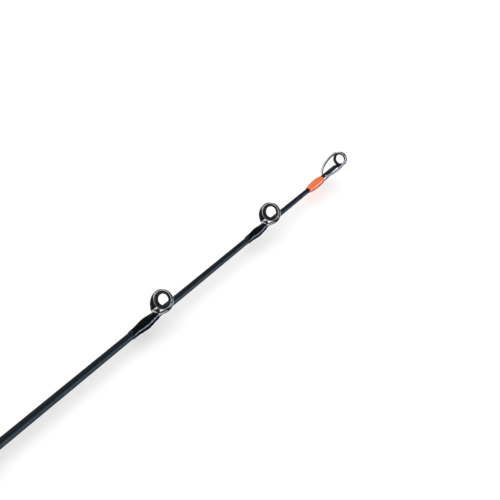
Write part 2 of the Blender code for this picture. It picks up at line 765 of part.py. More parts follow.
def below(angle):
    """How far an angle points down: 0 from the sides up, 1 straight down."""
    return max(0.0, -math.sin(angle)) ** 2


def seat_body():
    """Moulded seat: palm swell, neck for the fixed hood, flat reel bed, trigger, and keyed barrel."""
    seat = SEAT_DIAMETER / 2
    palm = PALM_DIAMETER / 2
    neck = NECK_DIAMETER / 2
    barrel = BARREL_DIAMETER / 2
    sleeve_radius = neck + GLUE + HOOD_SLEEVE_WALL
    belly_length = BARREL_X - BED_X
    table = [
        (SEAT_X, seat, 0.0),
        (SEAT_X + 0.20 * PALM_LENGTH, seat + (palm - seat) * 0.6, PALM_BELLY * 0.6),
        (SEAT_X + 0.50 * PALM_LENGTH, palm, PALM_BELLY),
        (SEAT_X + 0.80 * PALM_LENGTH, sleeve_radius + (palm - sleeve_radius) * 0.5, PALM_BELLY * 0.5),
        (NECK_X, sleeve_radius, 0.0),
        (NECK_X, neck, 0.0),
        (BED_X, neck, 0.0),
        (BED_X + 0.20 * belly_length, neck, BELLY * 0.7),
        (BED_X + 0.45 * belly_length, neck, BELLY),
        (BED_X + 0.75 * belly_length, neck, BELLY * 0.6),
        (BARREL_X - 2 * HOOD_MARGIN, neck, 0.0),
        (BARREL_X, barrel, 0.0),
        (SEAT_END_X - SEAM, barrel, 0.0),
        (SEAT_END_X, barrel - SEAM, 0.0),
    ]
    body = round_loft("reel_seat_body", [row[0] for row in table],
                      lambda i, a: table[i][1] + table[i][2] * below(a), SEAT_SIDES, "seat")
    join(body, trigger())
    wide = PALM_DIAMETER
    floor = block("fixed_hood_floor", (FIXED_MOUTH_X - HOOD_POCKET, -wide, HOOD_FLOOR), (BED_X, wide, wide))
    bed = block("bed_cut", (BED_X, -wide, BED_HEIGHT), (BED_END_X, wide, wide))
    flat = block("barrel_flat", (BED_END_X, -wide, HOOD_FLOOR), (SEAT_END_X + SEAM, wide, wide))
    keyway = block("keyway", (BARREL_X, -KEYWAY_WIDTH / 2, -wide), (SEAT_END_X + SEAM, KEYWAY_WIDTH / 2,
                                                                   KEYWAY_DEPTH - barrel))
    bore = turned("seat_bore", solid(SEAT_X - SEAM, SEAT_END_X + SEAM, SEAT_BORE / 2), SEAT_SIDES)
    cut(body, floor, bed, flat, keyway, bore)


def trigger():
    """Finger hook that curls toward the tip, oval in section, flared where it leaves the seat."""
    x = BED_X + TRIGGER_SETBACK
    root = SEAT_BORE / 2 + 4 * SEAM
    low = NECK_DIAMETER / 2 + BELLY + TRIGGER_DROP
    drop = low - root
    knots = (Vector((x, 0, -root)), Vector((x - TRIGGER_CURL * 0.35, 0, -root - drop * 0.45)),
             Vector((x - TRIGGER_CURL * 0.1, 0, -root - drop * 0.85)), Vector((x + TRIGGER_CURL, 0, -low)))
    rings = []
    for step in range(TRIGGER_STEPS + 1):
        t = step / TRIGGER_STEPS
        weights = ((1 - t) ** 3, 3 * t * (1 - t) ** 2, 3 * t * t * (1 - t), t ** 3)
        centre = sum((knot * w for knot, w in zip(knots, weights)), Vector())
        slopes = (3 * (1 - t) ** 2, 6 * t * (1 - t), 3 * t * t)
        heading = sum(((b - a) * w for a, b, w in zip(knots, knots[1:], slopes)), Vector()).normalized()
        across = Vector((0.0, 1.0, 0.0)).cross(heading)
        rounding = math.sqrt(1 - max(0.0, (t - 0.8) / 0.2) ** 2 * 0.75)
        depth = (TRIGGER_TIP_DEPTH + (TRIGGER_ROOT_DEPTH - TRIGGER_TIP_DEPTH) * (1 - t) ** 2.2) * rounding
        width = (TRIGGER_TIP_WIDTH + (TRIGGER_ROOT_WIDTH - TRIGGER_TIP_WIDTH) * (1 - t) ** 1.5) * rounding
        angles = [FULL_TURN * i / TRIGGER_SIDES for i in range(TRIGGER_SIDES)]
        rings.append([centre + across * (depth / 2 * math.cos(a)) + Vector((0, width / 2 * math.sin(a), 0))
                      for a in angles])
    return lofted("trigger", rings)


def hood(name, mouth, back, bore):
    """Metal hood: a sleeve round the seat with a scoop over its upper side, open toward the bed."""
    toward = math.copysign(1.0, back - mouth)
    length = abs(back - mouth)
    slim = bore + HOOD_SLEEVE_WALL
    crown = HOOD_ARCH + HOOD_WALL
    nose = length - HOOD_POCKET
    table = [(0.0, crown), (HOOD_POCKET, crown), (HOOD_POCKET + nose * 0.45, slim + (crown - slim) * 0.80),
             (HOOD_POCKET + nose * 0.8, slim + (crown - slim) * 0.42), (length, slim + (crown - slim) * 0.08)]
    stations = [mouth + toward * distance for distance, _ in table]

    def radius(i, angle):
        lean = abs(angle - UPWARD)
        lean = min(lean, FULL_TURN - lean)
        lobe = 1 - smooth((lean - LOBE_INNER) / (LOBE_OUTER - LOBE_INNER))
        return slim + (table[i][1] - slim) * lobe

    shell = round_loft(name, stations, radius, SEAT_SIDES, "anodised")
    low, high = min(mouth, back) - SEAM, max(mouth, back) + SEAM
    hole = turned(name + "_bore", solid(low, high, bore), SEAT_SIDES)
    half = HOOD_POCKET_WIDTH / 2
    edge = math.acos(half / HOOD_ARCH)
    outline = [(half, 0.0)] + arc(HOOD_ARCH, edge, math.pi - edge, 13) + [(-half, 0.0)]
    pocket = prism(name + "_pocket", outline, mouth - toward * SEAM, mouth + toward * HOOD_POCKET)
    return cut(shell, hole, pocket)


def hood_liner(name, mouth, toward):
    """Soft arch between the hood and the reel's foot."""
    outer = HOOD_ARCH - GLUE
    inner = outer - LINER_THICKNESS
    first, last = UPWARD - LINER_ANGLE, UPWARD + LINER_ANGLE
    outline = arc(outer, first, last, 9) + arc(inner, last, first, 9)
    start = mouth + toward * 2 * SEAM
    prism(name, outline, start, start + toward * LINER_LENGTH, "liner")


def hoods():
    hood("fixed_hood", FIXED_MOUTH_X, FIXED_HOOD_X, NECK_DIAMETER / 2 + GLUE)
    hood_liner("fixed_hood_liner", FIXED_MOUTH_X, -1)
    bore = BARREL_DIAMETER / 2 + RUNNING
    moving = hood("moving_hood", HOOD_X, HOOD_X + HOOD_LENGTH, bore)
    half = KEYWAY_WIDTH / 2 - KEY_CLEARANCE
    rib = block("hood_key", (HOOD_X + SEAM, -half, -bore - HOOD_SLEEVE_WALL / 2),
                (HOOD_X + HOOD_LENGTH - SEAM, half, KEYWAY_DEPTH - KEY_CLEARANCE - BARREL_DIAMETER / 2))
    join(moving, rib)
    hood_liner("moving_hood_liner", HOOD_X, 1)


def lock_nut():
    """Fluted ring that drives the moving hood along the barrel."""
    bore = BARREL_DIAMETER / 2 + RUNNING
    radius = bore + NUT_WALL
    end = NUT_X + NUT_LENGTH
    table = [(NUT_X, radius - NUT_CHAMFER), (NUT_X + NUT_CHAMFER, radius), (end - NUT_CHAMFER, radius),
             (end, radius - NUT_CHAMFER)]
    nut = round_loft("lock_nut", [row[0] for row in table],
                     lambda i, a: table[i][1] - NUT_FLUTE_DEPTH / 2 * (1 - math.cos(NUT_FLUTES * a)),
                     2 * NUT_FLUTES, "anodised")
    hole = solid(NUT_X - SEAM, end + SEAM, bore)
    cut(nut, turned("nut_bore", hole, SEAT_SIDES))


# Hook keeper

def hook_keeper():
    """Bent wire loop under the blank, held by a binding over each of its feet."""
    half = KEEPER_LOOP / 2
    level = butt_radius(KEEPER_X - half - KEEPER_FOOT) + GLUE + KEEPER_WIRE / 2
    bends = [math.pi * i / 10 for i in range(11)]
    loop = [(KEEPER_X - half * math.cos(a), 0.0, -level - KEEPER_REACH * math.sin(a)) for a in bends]
    rear = (KEEPER_X - half - KEEPER_FOOT, 0.0, -level)
    front = (KEEPER_X + half + KEEPER_FOOT, 0.0, -level)
    wire("hook_keeper", [rear] + loop + [front], KEEPER_WIRE / 2, 1, finish="frame")
    room = KEEPER_WIRE / 2 + GLUE
    for name, toward in (("hook_keeper_rear_wrap", -1), ("hook_keeper_front_wrap", 1)):
        near = KEEPER_X + toward * (half + KEEPER_WIRE)
        far = near + toward * (KEEPER_FOOT + KEEPER_WIRE)
        start, end = min(near, far), max(near, far)
        foot_end = KEEPER_X + toward * (half + KEEPER_FOOT + GLUE)
        inside = KEEPER_X + toward * half
        channel = block(name + "_channel", (min(foot_end, inside), -room, -level - room),
                        (max(foot_end, inside), room, -level + room))
        crest = math.hypot(level + room + KEEPER_SKIN, room)
        skin = butt_radius(start) + GLUE + KEEPER_SKIN
        lift = lift_over(crest, skin)
        stations = sorted((near + (far - near) * t, skin, lift * rise) for t, rise in KEEPER_SPINDLE)
        bore = ((start, butt_radius(start) + GLUE), (end, butt_radius(end) + GLUE))
        binding(name, stations, bore, -1, [channel])


def main():
    for thing in list(bpy.data.objects):
        bpy.data.objects.remove(thing, do_unlink=True)
    butt_blank()
    tip_blank()
    ferrule_wrap()
    tip_top()
    for sizes in SINGLE_FOOT_GUIDES:
        guide(TIP_RING_X, *sizes)
    guide(TIP_RING_X, *DOUBLE_FOOT_GUIDE, double_foot=True)
    guide(SOCKET_X, *BUTT_GUIDE, double_foot=True)
    grips()
    arbors()
    seat_body()
    hoods()
    lock_nut()
    hook_keeper()


main()
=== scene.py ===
"""Looks of a two-piece casting rod: finishes, smooth surfaces, stage, light and camera.

The packed part is loaded as a fixed frame. Each piece is a surface worked out with numpy in the same place as
its solid, rides on the same body and stands for it. The rod lies along +X, and the guides point to +Z.
Lengths are in metres.
"""
import json
import math

import bmesh
import bpy
import numpy as np
from mathutils import Matrix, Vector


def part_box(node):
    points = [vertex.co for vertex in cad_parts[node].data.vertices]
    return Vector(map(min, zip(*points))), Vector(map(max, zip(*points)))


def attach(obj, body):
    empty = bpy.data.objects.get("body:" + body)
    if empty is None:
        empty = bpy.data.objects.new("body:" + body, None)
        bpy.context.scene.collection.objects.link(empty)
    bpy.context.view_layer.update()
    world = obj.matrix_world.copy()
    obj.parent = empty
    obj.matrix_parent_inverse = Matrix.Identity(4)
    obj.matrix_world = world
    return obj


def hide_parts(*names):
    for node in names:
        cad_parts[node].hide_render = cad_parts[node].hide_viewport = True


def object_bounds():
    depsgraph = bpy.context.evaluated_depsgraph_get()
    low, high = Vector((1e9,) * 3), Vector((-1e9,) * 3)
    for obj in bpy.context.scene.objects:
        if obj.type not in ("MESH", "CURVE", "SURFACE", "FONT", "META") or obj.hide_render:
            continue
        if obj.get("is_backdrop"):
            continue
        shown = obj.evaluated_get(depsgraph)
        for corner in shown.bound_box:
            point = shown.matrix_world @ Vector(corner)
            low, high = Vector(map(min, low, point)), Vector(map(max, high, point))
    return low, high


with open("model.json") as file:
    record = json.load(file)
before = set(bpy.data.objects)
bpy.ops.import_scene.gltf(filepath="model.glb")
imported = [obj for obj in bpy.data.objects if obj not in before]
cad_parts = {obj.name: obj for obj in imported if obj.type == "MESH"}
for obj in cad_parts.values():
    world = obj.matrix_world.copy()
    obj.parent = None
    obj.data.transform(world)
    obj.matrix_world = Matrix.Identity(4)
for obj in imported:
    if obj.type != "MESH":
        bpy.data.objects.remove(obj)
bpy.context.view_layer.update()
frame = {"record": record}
SLOTS = {slot["slot"]: slot["base_color"] for slot in frame["record"]["materials"]}
BODY_OF = {node: body for body, nodes in frame["record"]["behaviour"]["bodies"].items() for node in nodes}

bl_info = {
    "name": "Casting Rod Looks",
    "version": (1, 0, 0),
    "blender": (4, 5, 0),
    "location": "3D View > Sidebar > Rod",
    "description": "Smooth surfaces, finishes, stage and camera for a casting rod",
    "category": "Object",
}

# Sizes that the solids also have
GLUE = 0.0001
TIP_RING_X = 1.978494
TIP_SETBACK = 0.0052
THIN_LENGTH = 0.276
FINE_LENGTH = 0.085
BUTT_RADIUS = 0.0061
SPIGOT_RADIUS = 0.0036
THIN_RADIUS = 0.00184
FINE_RADIUS = 0.00131
TIP_RADIUS = 0.00085
SHANK_RADIUS = 0.00385
SOCKET_GAP = 0.0001
SOCKET_WALL = 0.00075
SOCKET_LENGTH = 0.025
SOCKET_BLEND = 0.055
BUTT_WALL = 0.0011
TIP_WALL = 0.00055
RING_TILT = math.radians(18.2)
TIP_RING_TILT = math.radians(12.6)
RING_HALF_DEPTH = 0.000836
COLLAR_WALL = 0.0003
COLLAR_DEPTH = 0.0013
FOOT_THICKNESS = 0.00038
TOE_THICKNESS = 0.00016
WRAP_SKIN = 0.0002
WRAP_FULLNESS = 0.03
TOE_SETBACK = 0.0040
ROOT_SETBACK = 0.0035
SPIGOT_X = 1.020
SOCKET_X = 0.960
BUTT_X = 0.005
TURN = 2 * math.pi
UPWARD = math.pi / 2
SIDEWAYS = np.array((0.0, 1.0, 0.0))


# Curves and profiles

def along(points, x):
    """Straight lines through (x, value) points, read at x."""
    xs, values = np.array(points).T
    return np.interp(x, xs, values)


def flow(points, x):
    """Smooth curve through (x, value) points: a cubic on each span whose end slopes never overshoot the
    points."""
    xs, ys = np.array(points, float).T
    steps = np.diff(xs)
    slopes = np.diff(ys) / steps
    total = slopes[1:] + slopes[:-1]
    product = slopes[1:] * slopes[:-1]
    inner = np.where(product > 0, 2 * product / np.where(total == 0, 1, total), 0.0)
    tangents = np.concatenate([[slopes[0]], inner, [slopes[-1]]])
    x = np.clip(x, xs[0], xs[-1])
    span = np.clip(np.searchsorted(xs, x, side="right") - 1, 0, len(xs) - 2)
    length = steps[span]
    t = (x - xs[span]) / length
    return ((1 - smooth(t)) * ys[span] + t * (1 - t) ** 2 * length * tangents[span]
            + smooth(t) * ys[span + 1] - t * t * (1 - t) * length * tangents[span + 1])


def smooth(share):
    """Step without corners from 0 to 1: three times the square less twice the cube."""
    share = np.clip(share, 0, 1)
    return share * share * (3 - 2 * share)


def cubic(t, a, b, c, d):
    """Curve from a to d that is drawn toward b and then toward c."""
    return (1 - t) ** 3 * a + 3 * t * (1 - t) ** 2 * b + 3 * t * t * (1 - t) * c + t ** 3 * d


def taper(start, end, places, shares):
    """Profile points at the given places, whose values are shares of the way from start to end."""
    return [(place, start + (end - start) * share) for place, share in zip(places, shares)]


def unit(vectors):
    """Vectors of length one in the same directions."""
    return vectors / np.linalg.norm(vectors, axis=-1, keepdims=True)


def walked(points):
    """Distance along a line of points from its first to each."""
    return np.concatenate([[0.0], np.cumsum(np.linalg.norm(np.diff(points, axis=0), axis=1))])


def rounded(points, radius, steps=4, closed=True):
    """Polyline with its corners rounded: at a corner p, a and b lie radius before and after it, and the new
    points are (1-t)(1-t)a + 2t(1-t)p + ttb for t from 0 to 1."""
    p = np.array(points, float)
    before = np.roll(p, 1, axis=0) - p
    after = np.roll(p, -1, axis=0) - p
    reach_before = np.linalg.norm(before, axis=1, keepdims=True)
    reach_after = np.linalg.norm(after, axis=1, keepdims=True)
    cut = np.minimum(radius, 0.45 * np.minimum(reach_before, reach_after))
    a = p + before / reach_before * cut
    b = p + after / reach_after * cut
    t = np.linspace(0, 1, steps + 1)[None, :, None]
    curves = (1 - t) ** 2 * a[:, None] + 2 * t * (1 - t) * p[:, None] + t * t * b[:, None]
    if closed:
        return curves.reshape(-1, p.shape[1])
    return np.concatenate([p[:1], curves[1:-1].reshape(-1, p.shape[1]), p[-1:]])


def columns(*values):
    """Points from their coordinates, each an array or a single number."""
    return np.stack(np.broadcast_arrays(*values), axis=-1)


def oval(half_width, half_height, count, power=2.0):
    """Closed outline: the side and height are the cosine and sine of a turn, each to the power 2/power."""
    a = np.arange(count) * TURN / count
    c, s = np.cos(a), np.sin(a)
    return columns(half_width * np.sign(c) * np.abs(c) ** (2 / power),
                   half_height * np.sign(s) * np.abs(s) ** (2 / power))


def butt_radius(x):
    """Outer radius of the butt section's blank: a straight taper."""
    return along(((0.0, BUTT_RADIUS), (SPIGOT_X, SPIGOT_RADIUS)), x)


def tip_radius(x):
    """Outer radius of the tip section's blank: socket, blend, long taper, thin end."""
    mouth = float(butt_radius(SOCKET_X)) + SOCKET_GAP + SOCKET_WALL
    step = SOCKET_X + SOCKET_LENGTH
    return along(((SOCKET_X, mouth), (step, mouth), (step + SOCKET_BLEND, SHANK_RADIUS),
                  (TIP_RING_X - THIN_LENGTH, THIN_RADIUS), (TIP_RING_X - FINE_LENGTH, FINE_RADIUS),
                  (TIP_RING_X - TIP_SETBACK, TIP_RADIUS)), x)


def blank_radius(x):
    """Outer radius of whichever section shows at x."""
    return np.where(np.asarray(x) < SOCKET_X, butt_radius(x), tip_radius(x))


def on_blank(x):
    """Inner radius at x of a piece that is glued on the blank."""
    return float(blank_radius(x)) + GLUE


def ends(node):
    """Where a node starts and ends along the rod."""
    low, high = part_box(node)
    return low[0], high[0]


# Surfaces: a shell is its points, its four-sided faces and a pair of map values for each face's corner

def shell(grid, ring=False):
    """Closed shell from a grid of points (rows, columns, 3): the columns close on themselves, and the rows
    either close too (ring) or end in their middles. The map runs once round the columns and along the rows in
    metres."""
    grid = np.asarray(grid, float)
    if not ring:
        caps = [np.broadcast_to(grid[k].mean(axis=0), (1,) + grid.shape[1:]) for k in (0, -1)]
        grid = np.concatenate([caps[0], grid, caps[1]])
    rows, count, _ = grid.shape
    i = np.arange(rows if ring else rows - 1)[:, None]
    j = np.arange(count)[None, :]
    below, above, right = i * count, (i + 1) % rows * count, (j + 1) % count
    quads = columns(below + j, below + right, above + right, above + j).reshape(-1, 4)
    steps = np.diff(np.concatenate([grid, grid[:1]]) if ring else grid, axis=0)
    length = np.concatenate([[0.0], np.cumsum(np.linalg.norm(steps, axis=2).max(axis=1))])
    u = (j[..., None] + np.array([0, 1, 1, 0])) / count
    v = length[i[..., None] + np.array([0, 0, 1, 1])]
    return outward(grid.reshape(-1, 3), quads, columns(u, v).reshape(-1, 4, 2))


def outward(points, quads, corners):
    """The shell with its faces turned outward: its volume, a sum of a . (b x c) over its triangles, is
    positive."""
    a, b, c, d = (points[quads[:, k]] for k in range(4))
    volume = np.einsum("ij,ij->", a, np.cross(b, c)) + np.einsum("ij,ij->", a, np.cross(c, d))
    if volume < 0:
        quads, corners = quads[:, ::-1], corners[:, ::-1]
    return points, quads, corners


def polar(x, radius, angles):
    """Grid of points round the X axis: y and z are the radius times the cosine and sine of the angle."""
    return columns(x, radius * np.cos(angles), radius * np.sin(angles))


def lathe(profile, count=64, place=None):
    """Profile of (distance, radius) turned about X. One that starts and ends on the axis closes there; any
    other closes on itself. The place then moves the shell."""
    profile = np.asarray(profile, float)
    grid = polar(profile[:, :1], profile[:, 1:], np.arange(count) * TURN / count)
    on_axis = profile[0, 1] < 1e-9
    points, quads, corners = shell(grid[1:-1] if on_axis else grid, ring=not on_axis)
    if place:
        points = points @ np.array(place.to_3x3()).T + np.array(place.translation)
    return points, quads, corners


def sleeve(outer, inner, count=64, rounding=0.0002, place=None):
    """Tube wall between an outer and an inner profile, both given from rear to front, with rounded edges."""
    loop = np.concatenate([np.asarray(outer, float), np.asarray(inner, float)[::-1]])
    return lathe(round_some(loop, [0, len(outer) - 1, len(outer), len(loop) - 1], rounding), count, place)


def round_some(loop, which, radius, steps=4):
    """Closed polyline with only the named corners rounded."""
    keep = np.ones(len(loop), bool)
    keep[which] = False
    curves = rounded(loop, radius, steps).reshape(len(loop), steps + 1, 2)
    return np.concatenate([loop[i:i + 1] if keep[i] else curves[i] for i in range(len(loop))])


def sweep(path, section, across, ring=False):
    """Section (side, height) carried along a path: each point is the path's, plus the side along the
    direction across it and the height along the cross product of the path's direction with that."""
    path = np.asarray(path, float)
    if ring:
        heading = np.roll(path, -1, axis=0) - np.roll(path, 1, axis=0)
    else:
        heading = np.gradient(path, axis=0)
    heading = unit(heading)
    side = np.broadcast_to(np.asarray(across, float), path.shape)
    side = unit(side - np.sum(side * heading, axis=1, keepdims=True) * heading)
    up = np.cross(heading, side)
    section = np.broadcast_to(section, (len(path),) + np.asarray(section).shape[-2:])
    grid = path[:, None] + section[..., :1] * side[:, None] + section[..., 1:] * up[:, None]
    return shell(grid, ring)


def star(xs, outer, inner, angles):
    """Hollow body round the X axis from two arrays of radii (rows along xs, columns at the angles), out along
    the first and back along the second."""
    x = np.concatenate([xs, xs[::-1]])[:, None]
    return shell(polar(x, np.concatenate([outer, inner[::-1]]), angles), ring=True)


def placed(name, data):
    """New object in the scene."""
    thing = bpy.data.objects.new(name, data)
    bpy.context.scene.collection.objects.link(thing)
    return thing


def piece(node, shells, finish, name=None, crease=40, bevel=0.0):
    """Mesh object made of shells, which stands for a node and rides on its body."""
    name = (name or node) + "_surface"
    starts = np.cumsum([0] + [len(points) for points, _, _ in shells])
    mesh = bpy.data.meshes.new(name)
    mesh.from_pydata(np.concatenate([points for points, _, _ in shells]), [],
                     np.concatenate([quads + start for (_, quads, _), start in zip(shells, starts)]))
    corners = np.concatenate([corners for _, _, corners in shells])
    mesh.uv_layers.new(name="surface").data.foreach_set("uv", corners.ravel())
    body = bmesh.new()
    body.from_mesh(mesh)
    bmesh.ops.remove_doubles(body, verts=body.verts, dist=1e-7)
    bmesh.ops.dissolve_degenerate(body, edges=body.edges, dist=1e-8)
    body.to_mesh(mesh)
    body.free()
    mesh.shade_smooth()
    mesh.set_sharp_from_angle(angle=math.radians(crease))
    mesh.materials.append(finishes(finish))
    thing = placed(name, mesh)
    if bevel:
        edge = thing.modifiers.new("edges", "BEVEL")
        edge.width = bevel
        edge.segments = 2
        edge.limit_method = "ANGLE"
        edge.angle_limit = math.radians(crease)
    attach(thing, BODY_OF[node])
    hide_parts(node)


# Shader groups shared by the finishes

def new_group(name, inputs, outputs):
    """Empty shader group: inputs are names with their default numbers, or None for a vector. Returns its tree
    and the sockets to read from and to link to."""
    tree = bpy.data.node_groups.new(name, "ShaderNodeTree")
    for label, value in inputs.items():
        kind = "NodeSocketVector" if value is None else "NodeSocketFloat"
        socket = tree.interface.new_socket(label, in_out="INPUT", socket_type=kind)
        if value is not None:
            socket.default_value = value
    for label in outputs:
        tree.interface.new_socket(label, in_out="OUTPUT", socket_type="NodeSocketFloat")
    return tree, tree.nodes.new("NodeGroupInput").outputs, tree.nodes.new("NodeGroupOutput").inputs


def connect(tree, socket, value):
    """Sets a socket to a value, or links it to another socket."""
    if isinstance(value, bpy.types.NodeSocket):
        tree.links.new(value, socket)
    else:
        socket.default_value = value


def add_node(tree, kind, settings=None, **inputs):
    """New node with its settings and inputs; an input is _ and then its number or its name."""
    made = tree.nodes.new("ShaderNode" + kind)
    for key, value in (settings or {}).items():
        setattr(made, key, value)
    for key, value in inputs.items():
        label = key[1:]
        connect(tree, made.inputs[int(label) if label.isdigit() else label.replace("_", " ")], value)
    return made


def maths(tree, operation, a, b=0.0, c=0.0):
    """Result of one operation on up to three numbers."""
    return add_node(tree, "Math", {"operation": operation}, _0=a, _1=b, _2=c).outputs[0]


def winding_group():
    """Fine helix round the X axis: (0.5 + 0.5 cos(x / pitch + turn about X)), sharpened by a power."""
    tree, given, result = new_group(
        "wound_helix", {"Position": None, "Pitch": 0.0002, "Sharpness": 1.0}, ["Ridge"])
    x, y, z = add_node(tree, "SeparateXYZ", _0=given["Position"]).outputs
    turn = maths(tree, "ARCTAN2", z, y)
    phase = maths(tree, "MULTIPLY_ADD", maths(tree, "DIVIDE", x, given["Pitch"]), TURN, turn)
    wave = maths(tree, "MULTIPLY_ADD", maths(tree, "COSINE", phase), 0.5, 0.5)
    tree.links.new(maths(tree, "POWER", wave, given["Sharpness"]), result["Ridge"])
    return tree


def grain_group():
    """Noise whose cells are stretched along X, with its contrast raised."""
    tree, given, result = new_group(
        "stretched_grain", {"Position": None, "Scale": 2000.0, "Stretch": 0.05, "Contrast": 1.0}, ["Grain"])
    x, y, z = add_node(tree, "SeparateXYZ", _0=given["Position"]).outputs
    squeezed = maths(tree, "MULTIPLY", x, given["Stretch"])
    place = add_node(tree, "CombineXYZ", _0=squeezed, _1=y, _2=z).outputs[0]
    noise = add_node(tree, "TexNoise", _Vector=place, _Scale=given["Scale"], _Detail=3.0,
                     _Roughness=0.55).outputs[0]
    raised = maths(tree, "MULTIPLY_ADD", maths(tree, "SUBTRACT", noise, 0.5), given["Contrast"], 0.5)
    tree.links.new(add_node(tree, "Clamp", _0=raised).outputs[0], result["Grain"])
    return tree


def cells_group():
    """Closed-cell foam: small rounded cells of two sizes, and slow patches."""
    tree, given, result = new_group("foam_cells", {"Position": None, "Scale": 1600.0}, ["Height", "Patches"])
    at, scale = given["Position"], given["Scale"]
    cell, patch = (maths(tree, "MULTIPLY", scale, factor) for factor in (0.37, 0.05))
    fine, coarse = (add_node(tree, "TexVoronoi", _Vector=at, _Scale=size).outputs["Distance"]
                    for size in (scale, cell))
    tree.links.new(maths(tree, "MULTIPLY_ADD", coarse, 0.6, fine), result["Height"])
    patches = add_node(tree, "TexNoise", _Vector=at, _Scale=patch, _Detail=2.0)
    tree.links.new(patches.outputs[0], result["Patches"])
    return tree


GROUP_MAKERS = {"wound_helix": winding_group, "stretched_grain": grain_group, "foam_cells": cells_group}


def group(tree, name, **inputs):
    """Places a shared group, which is built the first time that it is used."""
    made = tree.nodes.new("ShaderNodeGroup")
    made.node_tree = bpy.data.node_groups.get(name) or GROUP_MAKERS[name]()
    for key, value in inputs.items():
        connect(tree, made.inputs[key], value)
    return made.outputs


# Finishes

def new_finish(name, colour, roughness, metallic=0.0, **sockets):
    """Material with its shader set; returns its tree, its shader and the Object coordinates."""
    material = bpy.data.materials.new(name + "_finish")
    material.use_nodes = True
    tree = material.node_tree
    shader = tree.nodes["Principled BSDF"]
    shader.inputs["Base Color"].default_value = (*colour[:3], 1.0)
    shader.inputs["Roughness"].default_value = roughness
    shader.inputs["Metallic"].default_value = metallic
    for key, value in sockets.items():
        shader.inputs[key.replace("_", " ")].default_value = value
    position = tree.nodes.new("ShaderNodeTexCoord").outputs["Object"]
    return material, tree, shader, position


def grain(tree, at, scale, stretch, contrast):
    """The shared grain, from 0 to 1."""
    made = group(tree, "stretched_grain", Position=at, Scale=scale, Stretch=stretch, Contrast=contrast)
    return made["Grain"]


def vary(tree, shader, colour, tone, dark, light, sheen=None, glossy=0.0, dull=1.0):
    """Makes the colour go from dark to light times its own with the tone, and the roughness with the
    sheen."""
    mix = tree.nodes.new("ShaderNodeMix")
    mix.data_type = "RGBA"
    tree.links.new(tone, mix.inputs["Factor"])
    for key, factor in (("A", dark), ("B", light)):
        mix.inputs[key].default_value = (*(min(1.0, c * factor) for c in colour[:3]), 1.0)
    tree.links.new(mix.outputs["Result"], shader.inputs["Base Color"])
    if sheen:
        tree.links.new(maths(tree, "MULTIPLY_ADD", sheen, dull - glossy, glossy), shader.inputs["Roughness"])


def bump(tree, shader, height, distance, strength=1.0):
    """Raises the surface by a height from 0 to 1 times the distance."""
    node = add_node(tree, "Bump", _Strength=strength, _Distance=distance, _Height=height)
    tree.links.new(node.outputs["Normal"], shader.inputs["Normal"])


def blank_finish(looks):
    """Satin carbon: lengthwise fibres, the faint helix that the moulding tape leaves, slow changes of
    sheen."""
    colour = looks.blank_colour
    material, tree, shader, at = new_finish("blank", colour, 0.50, Specular_Tint=(0.58, 0.80, 1.0, 1.0))
    fibres = grain(tree, at, 5200.0, 0.02, 1.6)
    tape = group(tree, "wound_helix", Position=at, Pitch=looks.tape_pitch, Sharpness=6.0)["Ridge"]
    vary(tree, shader, colour, fibres, 0.72, 1.35, grain(tree, at, 160.0, 0.2, 1.2), 0.46, 0.54)
    bump(tree, shader, maths(tree, "MULTIPLY_ADD", fibres, 0.12, tape), 0.000012)
    return material


def wound_finish(name, colour, looks, gloss, tint, coat, coat_gloss):
    """Thread under clear resin: the thread's helix shows as fine darker lines, and the resin swells
    slowly."""
    material, tree, shader, at = new_finish(name, colour, gloss, Specular_Tint=(*tint, 1.0), Coat_Weight=coat,
                                            Coat_Roughness=coat_gloss)
    thread = group(tree, "wound_helix", Position=at, Pitch=looks.thread_pitch, Sharpness=1.0)["Ridge"]
    slow = grain(tree, at, 1100.0, 0.6, 1.5)
    vary(tree, shader, colour, thread, 0.78, 1.12, slow, gloss * 0.8, gloss * 1.3)
    bump(tree, shader, maths(tree, "MULTIPLY_ADD", thread, 0.08, slow), 0.00007, 0.7)
    return material


def foam_finish(name, colour, scale, depth, roughness):
    """Moulded foam or rubber: small cells, and patches that are a little lighter where hands rub."""
    material, tree, shader, at = new_finish(name, colour, roughness)
    cells = group(tree, "foam_cells", Position=at, Scale=scale)
    patches = cells["Patches"]
    vary(tree, shader, colour, patches, 0.7, 1.5, patches, roughness - 0.08, roughness + 0.08)
    bump(tree, shader, cells["Height"], depth)
    return material


def grained_finish(name, colour, roughness, metallic=0.0, *, tone, shades, sheen, gloss, depth=0.0,
                   **sockets):
    """Finish whose colour follows one grain, between the two shades, and whose roughness and bumps follow
    another, between the two of gloss. Each grain is its scale, stretch and contrast."""
    material, tree, shader, at = new_finish(name, colour, roughness, metallic, **sockets)
    marks = grain(tree, at, *sheen)
    vary(tree, shader, colour, grain(tree, at, *tone), *shades, marks, *gloss)
    if depth:
        bump(tree, shader, marks, depth)
    return material


def moulded_finish(name, roughness):
    """Fibre-filled moulded plastic: fine texture, flow marks along the piece."""
    return grained_finish(name, SLOTS[name], roughness, tone=(300.0, 0.25, 1.5), shades=(0.8, 1.3),
                          sheen=(3800.0, 0.7, 1.6), gloss=(roughness - 0.06, roughness + 0.08),
                          depth=0.00001)


def anodised_finish(name, colour):
    """Turned and anodised aluminium: fine rings from the lathe tool under a coloured skin."""
    return grained_finish(name, colour, 0.26, 1.0, tone=(500.0, 1.0, 1.3), shades=(0.85, 1.15),
                          sheen=(160.0, 60.0, 1.4), gloss=(0.18, 0.34), depth=0.000004)


